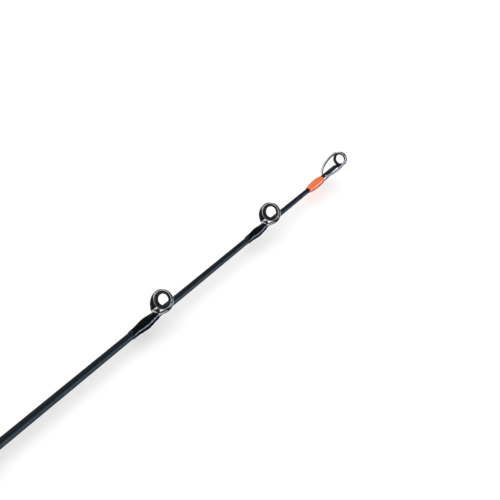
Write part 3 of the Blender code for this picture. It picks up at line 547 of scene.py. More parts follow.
def finish_makers(looks):
    """How each material slot is finished."""
    return {
        "blank": lambda: blank_finish(looks),
        "wrap": lambda: wound_finish("wrap", looks.wrap_colour, looks, 0.10, (0.60, 0.79, 1.0), 0.15, 0.05),
        "orange_wrap": lambda: wound_finish("orange_wrap", looks.tip_wrap_colour, looks, 0.30,
                                            (1.0, 1.0, 1.0), 0.7, 0.22),
        # Polished stainless steel with hair lines and a little haze
        "frame": lambda: grained_finish("frame", looks.steel_colour, 0.16, 1.0, tone=(900.0, 1.0, 1.4),
                                        shades=(0.88, 1.06), sheen=(9000.0, 0.12, 1.6), gloss=(0.10, 0.24),
                                        depth=0.000002),
        # Polished black ceramic: even and glossy, with a faint mist
        "ceramic": lambda: grained_finish("ceramic", looks.ring_colour, 0.09, tone=(2600.0, 1.0, 1.3),
                                          shades=(0.8, 1.3), sheen=(2600.0, 1.0, 1.3), gloss=(0.06, 0.14),
                                          Specular_IOR_Level=0.2),
        "foam": lambda: foam_finish("foam", looks.foam_colour, 1700.0, 0.00012, 0.80),
        "rubber": lambda: foam_finish("rubber", SLOTS["rubber"], 4200.0, 0.00003, 0.62),
        "seat": lambda: moulded_finish("seat", 0.34),
        "liner": lambda: moulded_finish("liner", 0.50),
        "arbor": lambda: foam_finish("arbor", SLOTS["arbor"], 2600.0, 0.0001, 0.80),
        "anodised": lambda: anodised_finish("anodised", looks.metal_colour),
        "trim": lambda: anodised_finish("trim", looks.trim_colour),
    }


def finishes(slot):
    """The material of a slot, made the first time that it is asked for."""
    made = bpy.data.materials.get(slot + "_finish")
    return made or finish_makers(bpy.context.scene.rod_looks)[slot]()


# Blank

def make_blank():
    """Both sections: the radius follows the straight tapers of each section, and the walls close inside."""
    end, fine, bore_end = (TIP_RING_X - setback for setback in (TIP_SETBACK, FINE_LENGTH, THIN_LENGTH))
    step = SOCKET_X + SOCKET_LENGTH
    xs = np.concatenate([[SOCKET_X], np.linspace(step, step + SOCKET_BLEND, 12), np.linspace(1.06, fine, 40),
                         np.linspace(fine, end, 9)[1:]])
    outer = columns(xs, tip_radius(xs))
    stop = SPIGOT_X + 0.0003
    shank = stop + SOCKET_BLEND
    inner = [(SOCKET_X, butt_radius(SOCKET_X) + SOCKET_GAP), (stop, butt_radius(stop) + SOCKET_GAP),
             (shank, tip_radius(shank) - TIP_WALL), (bore_end, tip_radius(bore_end) - TIP_WALL),
             (bore_end + SOCKET_LENGTH, 0.0)]
    loop = np.concatenate([[(end, 0.0)], outer[::-1], inner])
    piece("tip_blank", [lathe(loop, 48)], "blank")
    xs = np.linspace(BUTT_X, SPIGOT_X, 60)
    wall = [columns(xs, butt_radius(xs) - depth) for depth in (0.0, BUTT_WALL)]
    piece("butt_blank", [sleeve(*wall)], "blank")


# Bindings

LIP_SHARE = 0.25
PLAIN_LENGTH = 0.015
SPINDLE = ((0.00, 0.00), (0.20, 0.06), (0.38, 0.60), (0.57, 1.00), (0.72, 0.74), (0.86, 0.20), (1.00, 0.00))


def binding(rows, bore, side=1, meniscus=0.0007):
    """Wound sleeve: rows are (x, radius, lift), the surface is radius + lift times the square of the turn's
    sine on one side, and the resin falls toward the blank at each end as the square root of the distance from
    the end."""
    rows = np.array(sorted(rows))
    first, last = rows[0, 0], rows[-1, 0]
    t = np.linspace(0, 1, 9) ** 2
    xs = np.concatenate([first + meniscus * t, np.linspace(first + meniscus, last - meniscus, 60)[1:-1],
                         last - meniscus * t[::-1]])
    radius, lift = flow(rows[:, :2], xs)[:, None], flow(rows[:, [0, 2]], xs)[:, None]
    angles = np.arange(48) * TURN / 48
    inner = along(bore, xs)[:, None] + np.zeros_like(angles)
    outer = radius + lift * np.maximum(0.0, side * np.sin(angles)) ** 2
    edge = np.minimum(1.0, np.minimum(xs - first, last - xs) / meniscus)[:, None]
    outer = inner + (outer - inner) * (LIP_SHARE + (1 - LIP_SHARE) * np.sqrt(edge * (2 - edge)))
    return star(xs, outer, inner, angles)


def guide_binding(node, forward):
    """Spindle over a guide's foot, fullest past its middle."""
    back, front = ends(node)
    heel = front + 0.0006 if forward else back - ROOT_SETBACK
    toe = back + TOE_SETBACK if forward else front - TOE_SETBACK
    base = on_blank(toe if forward else heel)
    swell = base + FOOT_THICKNESS + GLUE * 2 + WRAP_FULLNESS * (front - back - PLAIN_LENGTH)
    rows = []
    for share, rise in SPINDLE:
        x = back + (front - back) * (share if forward else 1 - share)
        low = on_blank(x) + WRAP_SKIN
        radius = low + (swell - low) * rise
        on_foot = float(np.clip((x - toe) / (heel - toe), 0, 1))
        top = base + TOE_THICKNESS + (FOOT_THICKNESS - TOE_THICKNESS) * on_foot + 2 * GLUE
        rows.append((x, radius, max(0.0, top - radius) if share > 0.15 else 0.0))
    piece(node, [binding(rows, [(x, on_blank(x)) for x in (back, front)])], "wrap")


def make_bindings():
    """Bindings of the guides, the ferrule, the tip-top and the hook keeper."""
    for i in range(1, 7):
        guide_binding("guide_%d_wrap" % i, True)
    for i in (7, 8):
        guide_binding("guide_%d_rear_wrap" % i, True)
        guide_binding("guide_%d_front_wrap" % i, False)
    start, end = ends("ferrule_wrap")
    low = on_blank(SOCKET_X)
    rows = [(start, low + 0.00030, 0), (start + 0.002, low + 0.00045, 0), (end - 0.003, low + 0.00044, 0),
            (end, low + 0.00025, 0)]
    piece("ferrule_wrap", [binding(rows, [(start, low), (end, low)])], "wrap")
    back, front = ends("tip_top_wrap")
    low, peak, close = on_blank(back), 0.001875, 0.0015
    shape = taper(low + WRAP_SKIN, peak, (0.0, 0.22, 0.45, 0.65), (0.0, 0.55, 0.93, 1.0))
    shape += taper(peak, close, (0.85, 1.0), (0.45, 1.0))
    rows = [(back + (front - back) * t, r, 0) for t, r in shape]
    piece("tip_top_wrap", [binding(rows, [(back, low), (front, low)])], "orange_wrap")
    for node, forward in (("hook_keeper_rear_wrap", False), ("hook_keeper_front_wrap", True)):
        start, end = ends(node)
        near, far = (start, end) if forward else (end, start)
        skin = on_blank(start) + 0.0003
        crest = -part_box(node)[0][2]
        rows = [(near + (far - near) * t, skin, (crest - skin) * rise)
                for t, rise in ((0.0, 0.6), (0.2, 1.0), (0.5, 1.0), (0.8, 0.7), (1.0, 0.0))]
        piece(node, [binding(rows, [(x, on_blank(x)) for x in (start, end)], side=-1)], "wrap")


# Rings, frames and tip-top

RINGS = {"tip_top": (0.0054, 0.0039), "guide_1": (0.0068, 0.0046), "guide_2": (0.0072, 0.0046),
         "guide_3": (0.0072, 0.0046), "guide_4": (0.0072, 0.0046), "guide_5": (0.0079, 0.0054),
         "guide_6": (0.0088, 0.0063), "guide_7": (0.0104, 0.0078), "guide_8": (0.0126, 0.0096)}
TWO_FOOT_GUIDES = ("guide_7", "guide_8")
OPEN_FRAMES = ("guide_6",) + TWO_FOOT_GUIDES

# A frame's edge: how far it stands out from the collar, and is set back, at angles from the top down
EDGE_MARGIN = ((0.0, 0.00010), (0.8, 0.00045), (1.43, 0.00069), (1.76, 0.00089), (2.0, 0.0010))
EDGE_SETBACK = ((0.0, 0.00005), (0.8, 0.00030), (1.43, 0.00067), (1.76, 0.00100), (2.0, 0.00135))
EDGE_POINTS, EDGE_ARC, EDGE_ROUNDS, LEG_PULL = 180, math.radians(112), 14, 0.36
EAR_SINE, EAR_REACH, EAR_HEADING = 0.71, 0.0018, (-0.45, -0.60, -0.60)
SADDLE_SETBACK, SADDLE_SETBACK_MOST, SADDLE_GROWTH, SMALL_RADIUS = 0.0046, 0.0053, 3.5, 0.0038
HUB_SETBACK, SHEET_HALF, SHEET_WIDTH, SHEET_TRIM = 0.00045, 0.00016, 0.0015, 0.00006
DISH, FULL_DISH_WIDTH, ROLL, ROLL_WIDTH = 0.00025, 0.0012, 0.00030, 0.0009
BEAD_RADIUS, BEAD_TURN, BEAD_OVERHANG, BEAD_NECK = 0.00024, math.radians(140), 0.92, 1.75
BEAD_POINTS, SHEET_POINTS, LIP = 13, 8, (0.00012, 0.00005, -0.00005, -0.00012)
STRUT_THICKNESS = 0.0006
FOOT_WIDTHS, STRUT_WIDTHS, STRUT_BEND = (0.0008, 0.0018, 0.0022), (0.0008, 0.0016, 0.0016), 0.0012
SHOULDER_SETBACK, NOSE_SETBACK, NOSE_RADIUS, TUBE_WALL = 0.0034, 0.0003, 0.0008, 0.00026
LEG_LENGTH, LEG_RADIUS, LEG_OVERLAP = 0.0142, 0.00050, 0.0003
LEG_SPREAD, LEG_RISE, LEG_BOW = math.radians(28), math.radians(40), 0.0019


def ring_place(name):
    """Middle of a ring, its upward and forward directions, and the place that brings X onto the forward
    one."""
    low, high = (np.array(c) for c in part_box(name + "_ring"))
    tilt = TIP_RING_TILT if name == "tip_top" else RING_TILT
    middle = (low + high) / 2
    up = np.array((math.sin(tilt), 0.0, math.cos(tilt)))
    axis = np.array((math.cos(tilt), 0.0, -math.sin(tilt)))
    return middle, up, axis, Matrix.Translation(middle) @ Matrix.Rotation(tilt, 4, "Y")


def make_rings():
    """Ceramic rings: a rounded section turned about the ring's axis."""
    for name, (diameter, bore) in RINGS.items():
        section = oval(RING_HALF_DEPTH, (diameter - bore) / 4, 32, 2.4)
        section[:, 1] += (diameter + bore) / 4
        piece(name + "_ring", [lathe(section, 96, ring_place(name)[-1])], "ceramic")


def collar(diameter, place):
    """Rim that holds a ring: a thin wall round the ring, with a rolled front edge."""
    inner = diameter / 2 + GLUE * 0.2
    outer = diameter / 2 + GLUE + COLLAR_WALL
    half = COLLAR_DEPTH / 2
    return sleeve([(-half, outer), (half, outer)], [(-half, inner), (half, inner)], 96, 0.00014, place)


def frame_loop(middle, up, axis, radius, base, heel):
    """Outer edge of a frame, in (side, height, set-back) from the ring's middle. Each half is an arc whose
    distance from the axis grows from the top down, a cubic curve to an ear beside the blank, and a saddle
    over the blank, all smoothed by averaging each point with its neighbours."""
    frame_axes = np.stack([SIDEWAYS, up, -axis], axis=1)
    lean = np.linspace(0, EDGE_ARC, 60)
    reach = radius + flow(EDGE_MARGIN, lean)
    arc = columns(reach * np.sin(lean), reach * np.cos(lean), flow(EDGE_SETBACK, lean))
    over = base + FOOT_THICKNESS + SHEET_HALF + GLUE
    psi = math.asin(min(EAR_SINE, EAR_REACH / over)) * np.linspace(1, 0, 30)
    saddle = (polar(heel, over, UPWARD - psi) - middle) @ frame_axes
    ear = saddle[0]
    pull = LEG_PULL * np.linalg.norm(ear - arc[-1])
    t = np.linspace(0, 1, 40)[1:-1, None]
    leg = cubic(t, arc[-1], arc[-1] + pull * unit(arc[-1] - arc[-2]),
                ear - pull * unit(np.array(EAR_HEADING) @ frame_axes), ear)
    half = np.concatenate([arc, leg, saddle])
    closed = np.concatenate([half, (half * (-1, 1, 1))[-2:0:-1], half[:1]])
    path = walked(closed)
    even = np.arange(EDGE_POINTS) * path[-1] / EDGE_POINTS
    loop = columns(*(np.interp(even, path, values) for values in closed.T))
    for _ in range(EDGE_ROUNDS):
        loop = (np.roll(loop, 1, axis=0) + 2 * loop + np.roll(loop, -1, axis=0)) / 4
    return loop, frame_axes


def frame_sheet(name, middle, up, axis, radius, base, heel):
    """Dished sheet of a frame: from each point of the outer edge a line runs to the collar, or as far as the
    sheet is wide. At distance p along a line of length w the sheet sags by dish 4 (p / w) (1 - p / w), and
    near the edge it is rolled over by roll (1 - p / roll width) squared. The edge itself is a round bead."""
    edge, frame_axes = frame_loop(middle, up, axis, radius, base, heel)
    turn = np.arctan2(edge[:, 0], edge[:, 1])
    wall = radius - COLLAR_WALL / 2
    hub = columns(wall * np.sin(turn), wall * np.cos(turn), HUB_SETBACK)
    width = np.linalg.norm(hub - edge, axis=1, keepdims=True)
    width = np.minimum(width, SHEET_WIDTH if name in OPEN_FRAMES else 1.0)
    inward = unit(hub - edge)
    tangent = columns(np.cos(turn), -np.sin(turn), 0.0)
    normal = unit(np.cross(tangent, inward))
    around = np.linspace(-BEAD_TURN, BEAD_TURN, BEAD_POINTS)
    across = np.linspace(0, 1, SHEET_POINTS)
    side = np.full(SHEET_POINTS, SHEET_HALF)
    thick = np.concatenate([BEAD_RADIUS * np.sin(around), side, LIP, -side])
    neck = BEAD_RADIUS * BEAD_NECK
    flat = neck + (width - SHEET_TRIM - neck) * np.concatenate([across, np.ones(len(LIP)), across[::-1]])
    flat[:, SHEET_POINTS:-SHEET_POINTS] = width
    bead = np.broadcast_to(BEAD_RADIUS * (BEAD_OVERHANG - np.cos(around)), (len(edge), BEAD_POINTS))
    p = np.concatenate([bead, flat], axis=1)
    sag = DISH * np.minimum(1.0, width / FULL_DISH_WIDTH) * 4 * (p / width) * (1 - p / width)
    sag = np.maximum(0.0, sag) + ROLL * np.clip(1 - p / ROLL_WIDTH, 0, 1.05) ** 2
    grid = edge[:, None] + p[..., None] * inward[:, None] + (thick + sag)[..., None] * normal[:, None]
    return shell(middle + grid @ frame_axes.T, ring=True)


def ribbon(points, widths, thicknesses, bend=0.0006):
    """Flat strip along a bent line in the middle plane, whose width and thickness change along it."""
    points = np.array(points, float)
    line = rounded(points, bend, 8, closed=False)
    path = walked(line)
    fine = np.linspace(0, path[-1], 48)
    x, z = (np.interp(fine, path, line[:, k]) for k in range(2))
    half = [np.interp(fine, walked(points), values) / 2 for values in (widths, thicknesses)]
    return sweep(columns(x, 0.0, z), oval(1.0, 1.0, 24, 4.0)[None] * columns(*half)[:, None], SIDEWAYS)


def make_frames():
    """Stamped frames: collar, dished sheet and foot of each running guide, and the strut of one with two
    feet."""
    for name, (diameter, _) in RINGS.items():
        if name == "tip_top":
            continue
        two_feet = name in TWO_FOOT_GUIDES
        middle, up, axis, place = ring_place(name)
        radius = diameter / 2 + GLUE + COLLAR_WALL
        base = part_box(name + "_frame")[0][2]
        foot = base + FOOT_THICKNESS / 2
        growth = SADDLE_GROWTH * (radius - SMALL_RADIUS)
        saddle = middle[0] - min(SADDLE_SETBACK_MOST, SADDLE_SETBACK + growth)
        toe = ends(name + ("_rear_wrap" if two_feet else "_wrap"))[0] + TOE_SETBACK
        shells = [collar(diameter, place), frame_sheet(name, middle, up, axis, radius, base, saddle),
                  ribbon([(toe, base + TOE_THICKNESS / 2), (saddle - 0.0006, foot), (saddle + 0.0007, foot)],
                         FOOT_WIDTHS, (TOE_THICKNESS, FOOT_THICKNESS, FOOT_THICKNESS))]
        if two_feet:
            back, front = ends(name + "_front_wrap")
            root = back - ROOT_SETBACK
            base = on_blank(root)
            seat = middle - up * (radius - COLLAR_WALL * 0.4)
            line = [(front - TOE_SETBACK, base + TOE_THICKNESS / 2), (root, base + FOOT_THICKNESS / 2),
                    (seat[0] + 0.0002, seat[2])]
            thicknesses = (TOE_THICKNESS, FOOT_THICKNESS, STRUT_THICKNESS)
            shells.append(ribbon(line, STRUT_WIDTHS, thicknesses, STRUT_BEND))
        piece(name + "_frame", shells, "frame")


def make_tip_top():
    """Tube with a nose, collar, and two bowed legs: the side grows evenly, plus bow times (4 t (1 - t)) to
    0.6."""
    middle, up, _, place = ring_place("tip_top")
    diameter = RINGS["tip_top"][0]
    back, _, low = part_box("tip_top_frame")[0]
    radius = -low
    shoulder, nose = TIP_RING_X - SHOULDER_SETBACK, TIP_RING_X - NOSE_SETBACK
    bore, bore_end = radius - TUBE_WALL, TIP_RING_X - TIP_SETBACK + 0.0003
    tube = [(nose, 0.0), (nose, NOSE_RADIUS), (shoulder, radius), (back, radius), (back, bore),
            (bore_end, bore), (bore_end, 0.0)]
    tube = np.concatenate([tube[:1], round_some(np.array(tube[1:-1]), [0, 1, 2], 0.0003), tube[-1:]])
    root = np.array((TIP_RING_X - LEG_LENGTH, radius * math.sin(LEG_SPREAD), radius * math.cos(LEG_SPREAD)))
    rim = diameter / 2 + GLUE + COLLAR_WALL - LEG_OVERLAP
    end = middle + rim * (up * math.sin(LEG_RISE) + SIDEWAYS * math.cos(LEG_RISE))
    shells = [lathe(tube), collar(diameter, place)]
    t = np.linspace(0, 1, 49)[:, None]
    for side in (1, -1):
        path = root + (end - root) * t
        path[:, 1:2] += LEG_BOW * (4 * t * (1 - t)) ** 0.6
        path[:, 1] *= side
        shells.append(sweep(path, oval(LEG_RADIUS, LEG_RADIUS, 20, 2.4), np.cross(SIDEWAYS, end - root)))
    piece("tip_top_frame", shells, "frame")


# Handle

def turned_on_blank(node, outline, finish, rounding=0.0004):
    """Sleeve on the butt blank: outline is (share of the length, radius), smoothed; the bore follows the
    blank."""
    start, end = ends(node)
    share = np.linspace(0, 1, 60)
    outer = columns(start + (end - start) * share, flow(outline, share))
    inner = [(x, on_blank(x)) for x in (start, end)]
    piece(node, [sleeve(outer, inner, 96, rounding)], finish)


def make_grips():
    """Butt cap, foam grips, trim ring, winding checks and arbors."""
    (start, _, _), (end, _, high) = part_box("butt_cap")
    soft, edge, bottom, bore = 0.0016, 0.0003, 0.0143, 0.00615
    cap = [(bottom, 0.0), (bottom, bore), (end, bore), (end, high - edge), (end - edge, high)]
    cap += [(soft * (1 - math.sin(a)), high - soft * (1 - math.cos(a))) for a in np.linspace(0, UPWARD, 9)]
    piece("butt_cap", [lathe(cap + [(start, 0.0)], 96)], "rubber")
    trim, swell, neck, seat, fore, wide = 0.0134, 0.0143, 0.00925, 0.0120, 0.0080, 0.0112
    turned_on_blank("butt_trim_ring", ((0, trim), (1, trim)), "trim", 0.0005)
    grips = {"butt_grip": taper(trim, swell, (0.0, 0.12, 0.26), (0.0, 0.7, 1.0))
             + taper(swell, neck, (0.45, 0.68, 0.88, 1.0), (0.18, 0.62, 0.94, 1.0)),
             "rear_grip": taper(neck, seat, (0.0, 0.20, 0.50, 0.80, 1.0), (0.0, 0.10, 0.48, 0.90, 1.0)),
             "fore_grip": taper(wide, fore, (0.0, 0.25, 0.60, 0.85, 1.0), (0.0, 0.08, 0.55, 0.94, 1.0))}
    for node, outline in grips.items():
        turned_on_blank(node, outline, "foam")
    for node, rear, front in (("butt_winding_check", neck, None), ("rear_winding_check", None, neck),
                              ("fore_winding_check", fore, None)):
        thin = on_blank(ends(node)[0]) + 0.0012
        outline = taper(rear or thin, front or thin, (0.0, 0.5, 1.0), (0.0, 0.3, 1.0))
        turned_on_blank(node, outline, "anodised", 0.0003)
    for node in ("rear_arbor", "front_arbor"):
        turned_on_blank(node, ((0.0, 0.0072), (1.0, 0.0072)), "arbor", 0.0003)


SEAT_X, NECK_X, BED_X, BED_END_X = 0.2645, 0.288, 0.303, 0.351
BARREL_X, SEAT_END_X = 0.3345, 0.39055
SEAT_RADIUS, PALM_RADIUS, NECK_RADIUS, BARREL_RADIUS, SLEEVE_RADIUS = 0.0120, 0.0128, 0.0112, 0.0100, 0.0125
SEAT_BORE, BED_HEIGHT, HOOD_FLOOR = 0.0073, 0.0086, 0.0082
BELLY, PALM_BELLY = 0.0014, 0.0012
KEY_HALF, KEY_DEPTH = 0.0012, 0.0010
POCKET_REAR, SHOULDER = 0.2903, 0.001
TRIGGER_PLACE, TRIGGER_DROP, TRIGGER_LEAN = 0.0115, 0.0215, 0.0085
TRIGGER_SECTION = ((0.0130, 0.0068, 1.5), (0.0150, 0.0046, 2.2))
THREAD_PITCH, THREAD_ROOT, THREAD_HEIGHT = 0.002, 0.0098, 0.00036


def make_reel_seat():
    """Seat: the radius is a flow through its stations plus a belly below, cut by the level of the bed, the
    flat of the barrel and the keyway, with the barrel's thread a wave of the distance and the turn."""
    key = math.asin(KEY_HALF / BARREL_RADIUS)
    angles = np.sort(np.concatenate([np.arange(180) * TURN / 180 - UPWARD + TURN / 360,
                                     -UPWARD + np.array([-key - 1e-4, -key, key, key + 1e-4])]))
    bed_front = BARREL_X - SHOULDER
    spans = ((SEAT_X, NECK_X, 40), (NECK_X, BED_X, 8), (BED_X, bed_front, 40), (BARREL_X, BED_END_X, 90),
             (BED_END_X, SEAT_END_X, 216))
    xs = np.concatenate([np.linspace(*span) for span in spans])
    part = np.repeat(np.arange(5), [count for _, _, count in spans])
    stations = SEAT_X + (NECK_X - SEAT_X) * np.array((0.0, 0.2, 0.5, 0.8, 1.0))
    radii = (SEAT_RADIUS, SEAT_RADIUS + 0.0005, PALM_RADIUS, SLEEVE_RADIUS + 0.00015, SLEEVE_RADIUS)
    palm = columns(stations, PALM_BELLY * np.array((0.0, 0.6, 1.0, 0.5, 0.0)))
    span = BARREL_X - BED_X
    belly = [(BED_X, 0.0), (BED_X + 0.20 * span, BELLY * 0.7), (BED_X + 0.45 * span, BELLY),
             (BED_X + 0.75 * span, BELLY * 0.6), (bed_front, 0.0)]
    radius = np.where(part == 0, flow(columns(stations, radii), xs), NECK_RADIUS)
    swell = np.where(part == 0, flow(palm, xs), np.where(part == 2, flow(belly, xs), 0.0))
    outer = radius[:, None] + swell[:, None] * np.maximum(0.0, -np.sin(angles)) ** 2
    wave = 0.5 + 0.5 * np.cos(TURN * xs[:, None] / THREAD_PITCH + angles)
    fade = np.clip((xs - BARREL_X) / SHOULDER, 0, 1) * np.clip((SEAT_END_X - xs) / SHOULDER, 0, 1)
    thread = THREAD_ROOT + THREAD_HEIGHT * np.clip(1.5 * (wave - 0.5) + 0.5, 0, 1) * fade[:, None]
    barrel = part[:, None] >= 3
    outer = np.where(barrel, thread, outer)
    level = np.where((part == 2) | (part == 3), BED_HEIGHT, HOOD_FLOOR)
    level = np.where(xs > POCKET_REAR, level, 1.0)
    outer = np.minimum(outer, level[:, None] / np.maximum(np.sin(angles), 1e-3))
    keyway = (BARREL_RADIUS - KEY_DEPTH) / np.maximum(-np.sin(angles), 0.1)
    outer = np.where((np.abs(angles + UPWARD) < key + 5e-5) & barrel, np.minimum(outer, keyway), outer)
    shells = [star(xs, outer, np.full_like(outer, SEAT_BORE), angles), trigger()]
    piece("reel_seat_body", shells, "seat", name="reel_seat", crease=32)


def trigger():
    """Finger hook: an oval carried along a cubic curve, deep at its root and slim at its rounded end."""
    x, root = BED_X + TRIGGER_PLACE, SEAT_BORE + 0.0012
    drop = NECK_RADIUS + BELLY + TRIGGER_DROP - root
    t = np.linspace(0, 1, 60)[:, None]
    line = cubic(t, *(np.array((x + TRIGGER_LEAN * forward, -root - drop * down))
                      for forward, down in ((0.0, 0.0), (-0.35, 0.45), (-0.1, 0.85), (1.0, 1.0))))
    rounding = np.sqrt(1 - np.clip((t - 0.8) / 0.2, 0, 1) ** 2 * 0.93) / 2
    sizes = [(end + (start - end) * (1 - t) ** power) * rounding for start, end, power in TRIGGER_SECTION]
    section = oval(1.0, 1.0, 48, 2.3)[None] * np.concatenate(sizes, axis=1)[:, None]
    return sweep(columns(line[:, 0], 0.0, line[:, 1]), section, SIDEWAYS)


ARCH, POCKET_HALF, POCKET = 0.0142, 0.0088, 0.0122
LOBE_INNER, LOBE_OUTER, LINER_HALF = math.radians(34), math.radians(64), math.radians(33)
HOOD_CROWN, HOOD_WALL, CHAMFER, CHAMFER_DEPTH = 0.0010, 0.0012, 0.0004, 0.00025
LINER_SETBACK, LINER_LENGTH, LINER_WALL, THREAD_GAP = 0.0006, 0.0105, 0.0008, 0.00025
HOOD_EDGE, NUT_EDGE, NUT_FLUTES, FLUTE_DEPTH = 0.0002, 0.00015, 20, 0.0006


def hood_shell(mouth, toward, length, bore):
    """Hood: outside, a sleeve's radius rising to the arch's over a smooth lobe on top; inside, the bore,
    opened by a pocket whose radius is the lesser of the arch and half the pocket's width over the cosine of
    the turn."""
    edge, meet = math.acos(POCKET_HALF / ARCH), math.acos(POCKET_HALF / bore)
    marks = np.array([edge, math.pi - edge, meet, math.pi - meet, 0.001, math.pi - 0.001])
    angles = np.sort(np.concatenate([np.arange(180) * TURN / 180 + 0.003, marks]))
    nose = length - POCKET
    crown, slim = ARCH + HOOD_CROWN, bore + HOOD_WALL
    table = [(0.0, crown)] + taper(crown, slim, (POCKET, POCKET + nose * 0.45, POCKET + nose * 0.8, length),
                                   (0.0, 0.20, 0.58, 0.92))
    depth = np.concatenate([[0.0], np.linspace(CHAMFER, POCKET, 12), np.linspace(POCKET, length, 16)[1:]])
    lean = np.abs((angles - UPWARD + math.pi) % TURN - math.pi)
    lobe = 1 - smooth((lean - LOBE_INNER) / (LOBE_OUTER - LOBE_INNER))
    outer = slim + (flow(table, depth)[:, None] - slim) * lobe
    outer = outer - CHAMFER_DEPTH * (1 - np.clip(depth / CHAMFER, 0, 1)[:, None])
    opened = np.minimum(ARCH, POCKET_HALF / np.maximum(np.abs(np.cos(angles)), 1e-6))
    opened = np.where(np.sin(angles) > 0, opened, 0)
    inner_depth = np.concatenate([np.linspace(0, POCKET, 12), [POCKET, length]])
    inner = np.where(np.arange(14)[:, None] < 12, np.maximum(bore, opened), bore)
    x = mouth + toward * np.concatenate([depth, inner_depth[::-1]])
    return shell(polar(x[:, None], np.concatenate([outer, inner[::-1]]), angles), ring=True)


def liner_shell(mouth, toward):
    """Soft arch inside a hood: a band between two radii over a third of a turn, rounded at its edges."""
    a = np.linspace(UPWARD - LINER_HALF, UPWARD + LINER_HALF, 33)
    arch = columns(np.cos(a), np.sin(a))
    outline = np.concatenate([(ARCH - GLUE) * arch, (ARCH - GLUE - LINER_WALL) * arch[::-1]])
    xs = mouth + toward * (LINER_SETBACK + LINER_LENGTH * np.array([0, 0.02, 0.5, 0.98, 1.0]))
    middle = outline.mean(axis=0)
    flat = middle + (outline - middle) * np.array([0.985, 1.0, 1.0, 1.0, 0.985])[:, None, None]
    return shell(columns(xs[:, None], flat[..., 0], flat[..., 1]))


def make_hoods():
    """Fixed hood, moving hood with its key, and the liner of each."""
    back, mouth = ends("fixed_hood")
    shells = [hood_shell(mouth, -1, mouth - back, NECK_RADIUS + GLUE)]
    piece("fixed_hood", shells, "anodised", bevel=HOOD_EDGE)
    piece("fixed_hood_liner", [liner_shell(mouth, -1)], "liner")
    mouth, back = ends("moving_hood")
    bore = BARREL_RADIUS + THREAD_GAP
    foot, crest = -bore - 0.0006, -0.0092
    rib = columns(np.array([[mouth + 0.0003], [back - 0.0003]]), np.array([-0.001, 0.001, 0.001, -0.001]),
                  np.array([foot, foot, crest, crest]))
    shells = [hood_shell(mouth, 1, back - mouth, bore), shell(rib)]
    piece("moving_hood", shells, "anodised", bevel=HOOD_EDGE)
    piece("moving_hood_liner", [liner_shell(mouth, 1)], "liner")


def make_lock_nut():
    """Fluted nut: the radius falls by half the flute's depth times (1 - cos 20 turns), inside rounded
    ends."""
    (start, _, _), (end, _, high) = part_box("lock_nut")
    angles, slope = np.arange(240) * TURN / 240, 0.0012
    low = high - slope
    profile = rounded([(start, low), (start + slope, high), (end - slope, high), (end, low)], 0.0006, 5,
                      closed=False)
    outer = profile[:, 1:] - FLUTE_DEPTH / 2 * (1 - np.cos(NUT_FLUTES * angles))
    inner = np.full_like(outer, BARREL_RADIUS + THREAD_GAP)
    piece("lock_nut", [star(profile[:, 0], outer, inner, angles)], "anodised", bevel=NUT_EDGE)


def make_hook_keeper():
    """Wire loop below the blank: half an ellipse between two straight feet."""
    low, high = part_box("hook_keeper")
    middle, wire, half = (low[0] + high[0]) / 2, 0.0005, 0.00425
    level = wire - high[2]
    reach = -low[2] - wire - level
    a = np.linspace(0, math.pi, 41)
    loop = columns(middle - half * np.cos(a), 0.0, -level - reach * np.sin(a))
    path = np.concatenate([[(low[0], 0, -level), (middle - half - 0.0008, 0, -level)], loop,
                           [(middle + half + 0.0008, 0, -level), (high[0], 0, -level)]])
    piece("hook_keeper", [sweep(path, oval(wire, wire, 20), SIDEWAYS)], "frame")


# Stage

PICTURE_WIDTH, SENSOR_WIDTH = 500, 36.0
FLOOR_REACH, FLOOR_RISE = 8.0, (0.5, 1.5)
SOFTBOX_SIZE, SOFTBOX_PLACE = (7.0, 3.2), (1.2, 1.5)


def photo_axes(stage):
    """Directions of the rod's X, Y and Z as the camera sees them: right, up and toward the camera."""
    lean, turn, roll = stage.lean, stage.turn, stage.roll
    run = np.array((math.cos(roll), math.sin(roll)))
    rod = np.array((*(math.sin(lean) * run), -math.cos(lean)))
    toward = np.array((*(math.cos(lean) * run), math.sin(lean)))
    guides = math.cos(turn) * np.array((-math.sin(roll), math.cos(roll), 0.0)) + math.sin(turn) * toward
    return rod, np.cross(guides, rod), guides


def make_camera(stage):
    """Long lens at the photograph's angle: the tip ring's place on the axis falls on its pixel."""
    turn = np.stack(photo_axes(stage), axis=1)
    scale, middle = stage.scale, PICTURE_WIDTH / 2
    seen = np.array(((stage.tip_right - middle) / scale, (middle - stage.tip_down) / scale, -stage.distance))
    camera = placed("camera", bpy.data.cameras.new("camera"))
    camera.data.sensor_width = SENSOR_WIDTH
    camera.data.lens = scale * stage.distance * SENSOR_WIDTH / PICTURE_WIDTH
    camera.data.clip_start, camera.data.clip_end = 0.05, 60.0
    pose = np.eye(4)
    pose[:3, :3] = turn.T
    pose[:3, 3] = np.array((TIP_RING_X, 0.0, 0.0)) - turn.T @ seen
    camera.matrix_world = Matrix(pose.tolist())
    bpy.context.scene.camera = camera


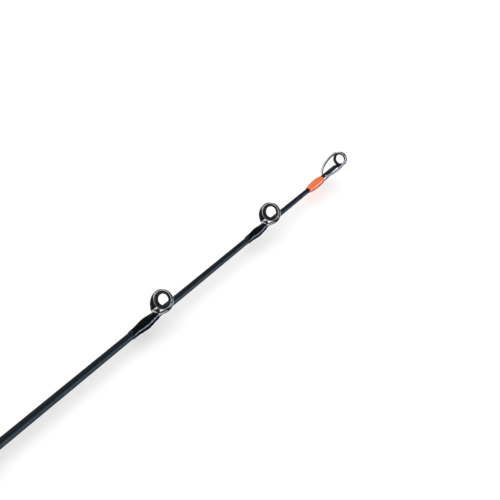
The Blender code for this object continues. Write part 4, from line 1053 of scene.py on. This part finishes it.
def make_floor(stage):
    """Pale sheet just below the rod: it lies low under the trigger and rises smoothly to just under the
    tip."""
    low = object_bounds()[0][2] - 0.0003
    start, end = FLOOR_RISE
    xs = np.concatenate([[-FLOOR_REACH], np.linspace(start, end, 40), [FLOOR_REACH + 2.0]])
    z = low + (-stage.floor_drop - low) * smooth((xs - start) / (end - start))
    points = columns(xs[:, None], np.array([-FLOOR_REACH, FLOOR_REACH]), z[:, None])
    mesh = bpy.data.meshes.new("floor")
    mesh.from_pydata(points.reshape(-1, 3), [],
                     np.arange(len(xs) - 1)[:, None] * 2 + np.array([[0, 2, 3, 1]]))
    mesh.shade_smooth()
    floor = placed("floor", mesh)
    floor.visible_glossy = False
    material, tree, shader, at = new_finish("paper", stage.floor_colour, 0.9, Specular_IOR_Level=0.0)
    vary(tree, shader, stage.floor_colour, grain(tree, at, 60.0, 1.0, 0.5), 0.995, 1.0)
    mesh.materials.append(material)
    floor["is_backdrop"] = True


def ramp(tree, value, start, end, low, high, kind="SMOOTHSTEP"):
    """Goes smoothly from low to high as a value goes from start to end."""
    return add_node(tree, "MapRange", {"interpolation_type": kind}, _Value=value, _1=start, _2=end,
                    _3=low, _4=high).outputs[0]


def glow(tree, strength, colour=(1.0, 1.0, 1.0)):
    """Light from all round."""
    return add_node(tree, "Background", _Color=(*colour, 1.0), _Strength=strength).outputs[0]


def make_softbox(stage):
    """Broad soft light from above and to the rod's left."""
    lamp = bpy.data.lights.new("softbox", "AREA")
    lamp.shape = "RECTANGLE"
    lamp.size, lamp.size_y = SOFTBOX_SIZE
    lamp.energy = stage.key_power
    softbox = placed("softbox", lamp)
    along_rod, away = SOFTBOX_PLACE
    lean = stage.key_lean
    softbox.matrix_world = (Matrix.Translation((along_rod, away * math.sin(lean), away * math.cos(lean)))
                            @ Matrix.Rotation(-lean, 4, "X"))
    softbox.visible_glossy = False


def make_surroundings(stage):
    """Even fill, and what glossy surfaces reflect: a bright strip along the rod, which the cosine and sine of
    a direction's turn place, and a side light, the floor and the rod's left, which fade toward the rod's
    ends."""
    world = bpy.data.worlds.new("studio")
    bpy.context.scene.world = world
    world.use_nodes = True
    tree = world.node_tree
    tree.nodes.clear()
    at = tree.nodes.new("ShaderNodeTexCoord").outputs["Generated"]
    x, y, z = add_node(tree, "SeparateXYZ", _0=at).outputs
    off = maths(tree, "ABSOLUTE", maths(tree, "SUBTRACT", maths(tree, "ARCTAN2", y, z), stage.strip_turn))
    strip = maths(tree, "MULTIPLY", ramp(tree, off, 0.05, stage.strip_width, 1.0, 0.0, "SMOOTHERSTEP"),
                  ramp(tree, x, -0.2, 0.3, 0.0, 1.0))
    toward_side = add_node(tree, "VectorMath", {"operation": "DOT_PRODUCT"}, _0=at,
                           _1=stage.side_glow_from).outputs["Value"]
    side = ramp(tree, toward_side, 0.82, 0.95, 0.0, stage.side_glow)
    below = ramp(tree, z, -0.30, -0.06, stage.below_glow, 0.0)
    left = ramp(tree, y, -0.05, 0.30, 0.0, stage.left_glow)
    low = ramp(tree, z, 0.05, 0.35, 1.0, 0.0)
    around = maths(tree, "MULTIPLY_ADD", left, low, maths(tree, "ADD", side, below))
    around = maths(tree, "MULTIPLY_ADD", around, ramp(tree, x, 0.35, 0.60, 1.0, 0.0), stage.end_glow)
    bright = glow(tree, maths(tree, "MULTIPLY", strip, stage.strip_power), stage.gloss_colour)
    glossy = add_node(tree, "AddShader", _0=bright, _1=glow(tree, around)).outputs[0]
    path = tree.nodes.new("ShaderNodeLightPath").outputs
    lit = add_node(tree, "MixShader", _0=path["Is Glossy Ray"], _1=glow(tree, stage.fill),
                   _2=glossy).outputs[0]
    seen = add_node(tree, "MixShader", _0=path["Is Camera Ray"], _1=lit, _2=glow(tree, 1.0))
    add_node(tree, "OutputWorld", _0=seen.outputs[0])


# Settings

def colour_setting(label, text, value):
    """Property that holds a colour."""
    return bpy.props.FloatVectorProperty(name=label, description=text, subtype="COLOR", size=3, min=0.0,
                                         max=1.0, default=tuple(value[:3]))


def angle_setting(label, text, degrees):
    """Property that holds an angle."""
    return number_setting(label, text, math.radians(degrees), subtype="ANGLE")


def number_setting(label, text, value, **more):
    """Property that holds a number."""
    return bpy.props.FloatProperty(name=label, description=text, default=value, **more)


class RodLooks(bpy.types.PropertyGroup):
    """Colours and fine sizes of the rod's finishes."""
    blank_colour: colour_setting("Blank", "Colour of the carbon blank", (0.0030, 0.0042, 0.0062))
    wrap_colour: colour_setting("Guide wraps", "Colour of the bindings at the guides", (0.003, 0.004, 0.005))
    tip_wrap_colour: colour_setting("Tip wrap", "Colour of the binding at the tip-top", (0.90, 0.17, 0.035))
    steel_colour: colour_setting("Frames", "Colour of the guides' steel", (0.42, 0.43, 0.45))
    ring_colour: colour_setting("Rings", "Colour of the ceramic rings", SLOTS["ceramic"])
    foam_colour: colour_setting("Grips", "Colour of the foam grips", (0.018, 0.019, 0.021))
    metal_colour: colour_setting("Hoods", "Colour of the hoods, nut and winding checks", SLOTS["anodised"])
    trim_colour: colour_setting("Trim", "Colour of the ring at the butt", SLOTS["trim"])
    thread_pitch: number_setting("Thread pitch", "Distance between turns of thread", 0.00022, min=0.00005,
                                 unit="LENGTH", precision=5)
    tape_pitch: number_setting("Tape pitch", "Distance between tape marks on the blank", 0.0026, min=0.0005,
                               unit="LENGTH", precision=4)


class RodStage(bpy.types.PropertyGroup):
    """Camera, floor and light."""
    lean: angle_setting("Lean", "Angle between the rod and the camera's line of sight", 37.709)
    turn: angle_setting("Turn", "How far the guides are turned toward the camera", 59.487)
    roll: angle_setting("Roll", "Angle of the rod across the picture", 39.569)
    distance: number_setting("Distance", "From the camera to the tip", 1.84771, unit="LENGTH")
    scale: number_setting("Scale", "Picture points for each metre at the tip", 2338.48)
    tip_right: number_setting("Tip right", "Tip's place across the picture", 338.362)
    tip_down: number_setting("Tip down", "Tip's place down the picture", 165.443)
    floor_drop: number_setting("Floor drop", "From the axis to the floor at the tip", 0.0062, unit="LENGTH")
    floor_colour: colour_setting("Floor", "Colour of the floor", (0.93, 0.93, 0.93))
    key_power: number_setting("Softbox", "Power of the softbox", 41.0, unit="POWER")
    key_lean: angle_setting("Softbox lean", "How far the softbox leans to the rod's left", 20.0)
    fill: number_setting("Fill", "Even light from all round", 0.85)
    strip_turn: angle_setting("Strip turn", "Where the strip stands, from overhead to the rod's left", -84.0)
    strip_width: angle_setting("Strip width", "Half the width of the bright strip", 16.0)
    strip_power: number_setting("Strip", "Brightness of the strip in reflections", 6.0)
    below_glow: number_setting("Below", "Brightness of the floor in reflections", 1.6)
    side_glow: number_setting("Side", "Brightness of the side light in reflections", 2.6)
    side_glow_from: bpy.props.FloatVectorProperty(
        name="Side light", description="Direction of the side light", subtype="DIRECTION",
        default=(0.35, 0.45, 0.82))
    left_glow: number_setting("Left", "Brightness of the rod's left in reflections", 1.3)
    end_glow: number_setting("Ends", "Brightness past the rod's ends", 0.02)
    gloss_colour: colour_setting("Strip colour", "Colour of the bright strip", (0.74, 0.86, 1.0))


def piece_operator(name, label, text, maker):
    """Operator class that makes one group of pieces."""
    def execute(self, context):
        maker()
        return {"FINISHED"}

    return type("ROD_OT_" + name, (bpy.types.Operator,), {
        "__doc__": text, "bl_idname": "rod." + name, "bl_label": label, "execute": execute})


class ROD_OT_stage(bpy.types.Operator):
    """Make the camera, the floor and the lights"""
    bl_idname = "rod.stage"
    bl_label = "Stage"

    def execute(self, context):
        stage = context.scene.rod_stage
        make_camera(stage)
        make_floor(stage)
        make_softbox(stage)
        make_surroundings(stage)
        context.scene.view_settings.view_transform = "Standard"
        return {"FINISHED"}


PIECES = (
    ("blank", "Blank", "Make both sections of the blank", make_blank),
    ("bindings", "Bindings", "Make the wound bindings", make_bindings),
    ("rings", "Rings", "Make the ceramic rings", make_rings),
    ("frames", "Guide frames", "Make the stamped guide frames", make_frames),
    ("tip_top", "Tip-top", "Make the tip-top", make_tip_top),
    ("grips", "Grips", "Make the grips, the cap and the rings at their ends", make_grips),
    ("reel_seat", "Reel seat", "Make the reel seat with its trigger and thread", make_reel_seat),
    ("hoods", "Hoods", "Make the hoods and their liners", make_hoods),
    ("lock_nut", "Lock nut", "Make the lock nut", make_lock_nut),
    ("hook_keeper", "Hook keeper", "Make the hook keeper", make_hook_keeper),
)
OPERATORS = tuple(piece_operator(*row) for row in PIECES)


class ROD_PT_looks(bpy.types.Panel):
    """Lists the rod's pieces and settings"""
    bl_idname = "ROD_PT_looks"
    bl_label = "Casting Rod"
    bl_space_type = "VIEW_3D"
    bl_region_type = "UI"
    bl_category = "Rod"

    def draw(self, context):
        column = self.layout.column(align=True)
        for operator in (ROD_OT_stage,) + OPERATORS:
            column.operator(operator.bl_idname)
        for group_name in ("rod_looks", "rod_stage"):
            settings = getattr(context.scene, group_name)
            box = self.layout.box()
            for key in type(settings).__annotations__:
                box.prop(settings, key)


CLASSES = (RodLooks, RodStage, ROD_OT_stage) + OPERATORS + (ROD_PT_looks,)


def register():
    for kind in CLASSES:
        bpy.utils.register_class(kind)
    bpy.types.Scene.rod_looks = bpy.props.PointerProperty(type=RodLooks)
    bpy.types.Scene.rod_stage = bpy.props.PointerProperty(type=RodStage)


def unregister():
    del bpy.types.Scene.rod_stage
    del bpy.types.Scene.rod_looks
    for kind in reversed(CLASSES):
        bpy.utils.unregister_class(kind)


def main():
    """Registers the classes, makes the stage and every piece, and writes both boxes."""
    register()
    bpy.ops.rod.stage()
    for name, *_ in PIECES:
        getattr(bpy.ops.rod, name)()
    bpy.context.view_layer.update()


if __name__ == "__main__":
    main()
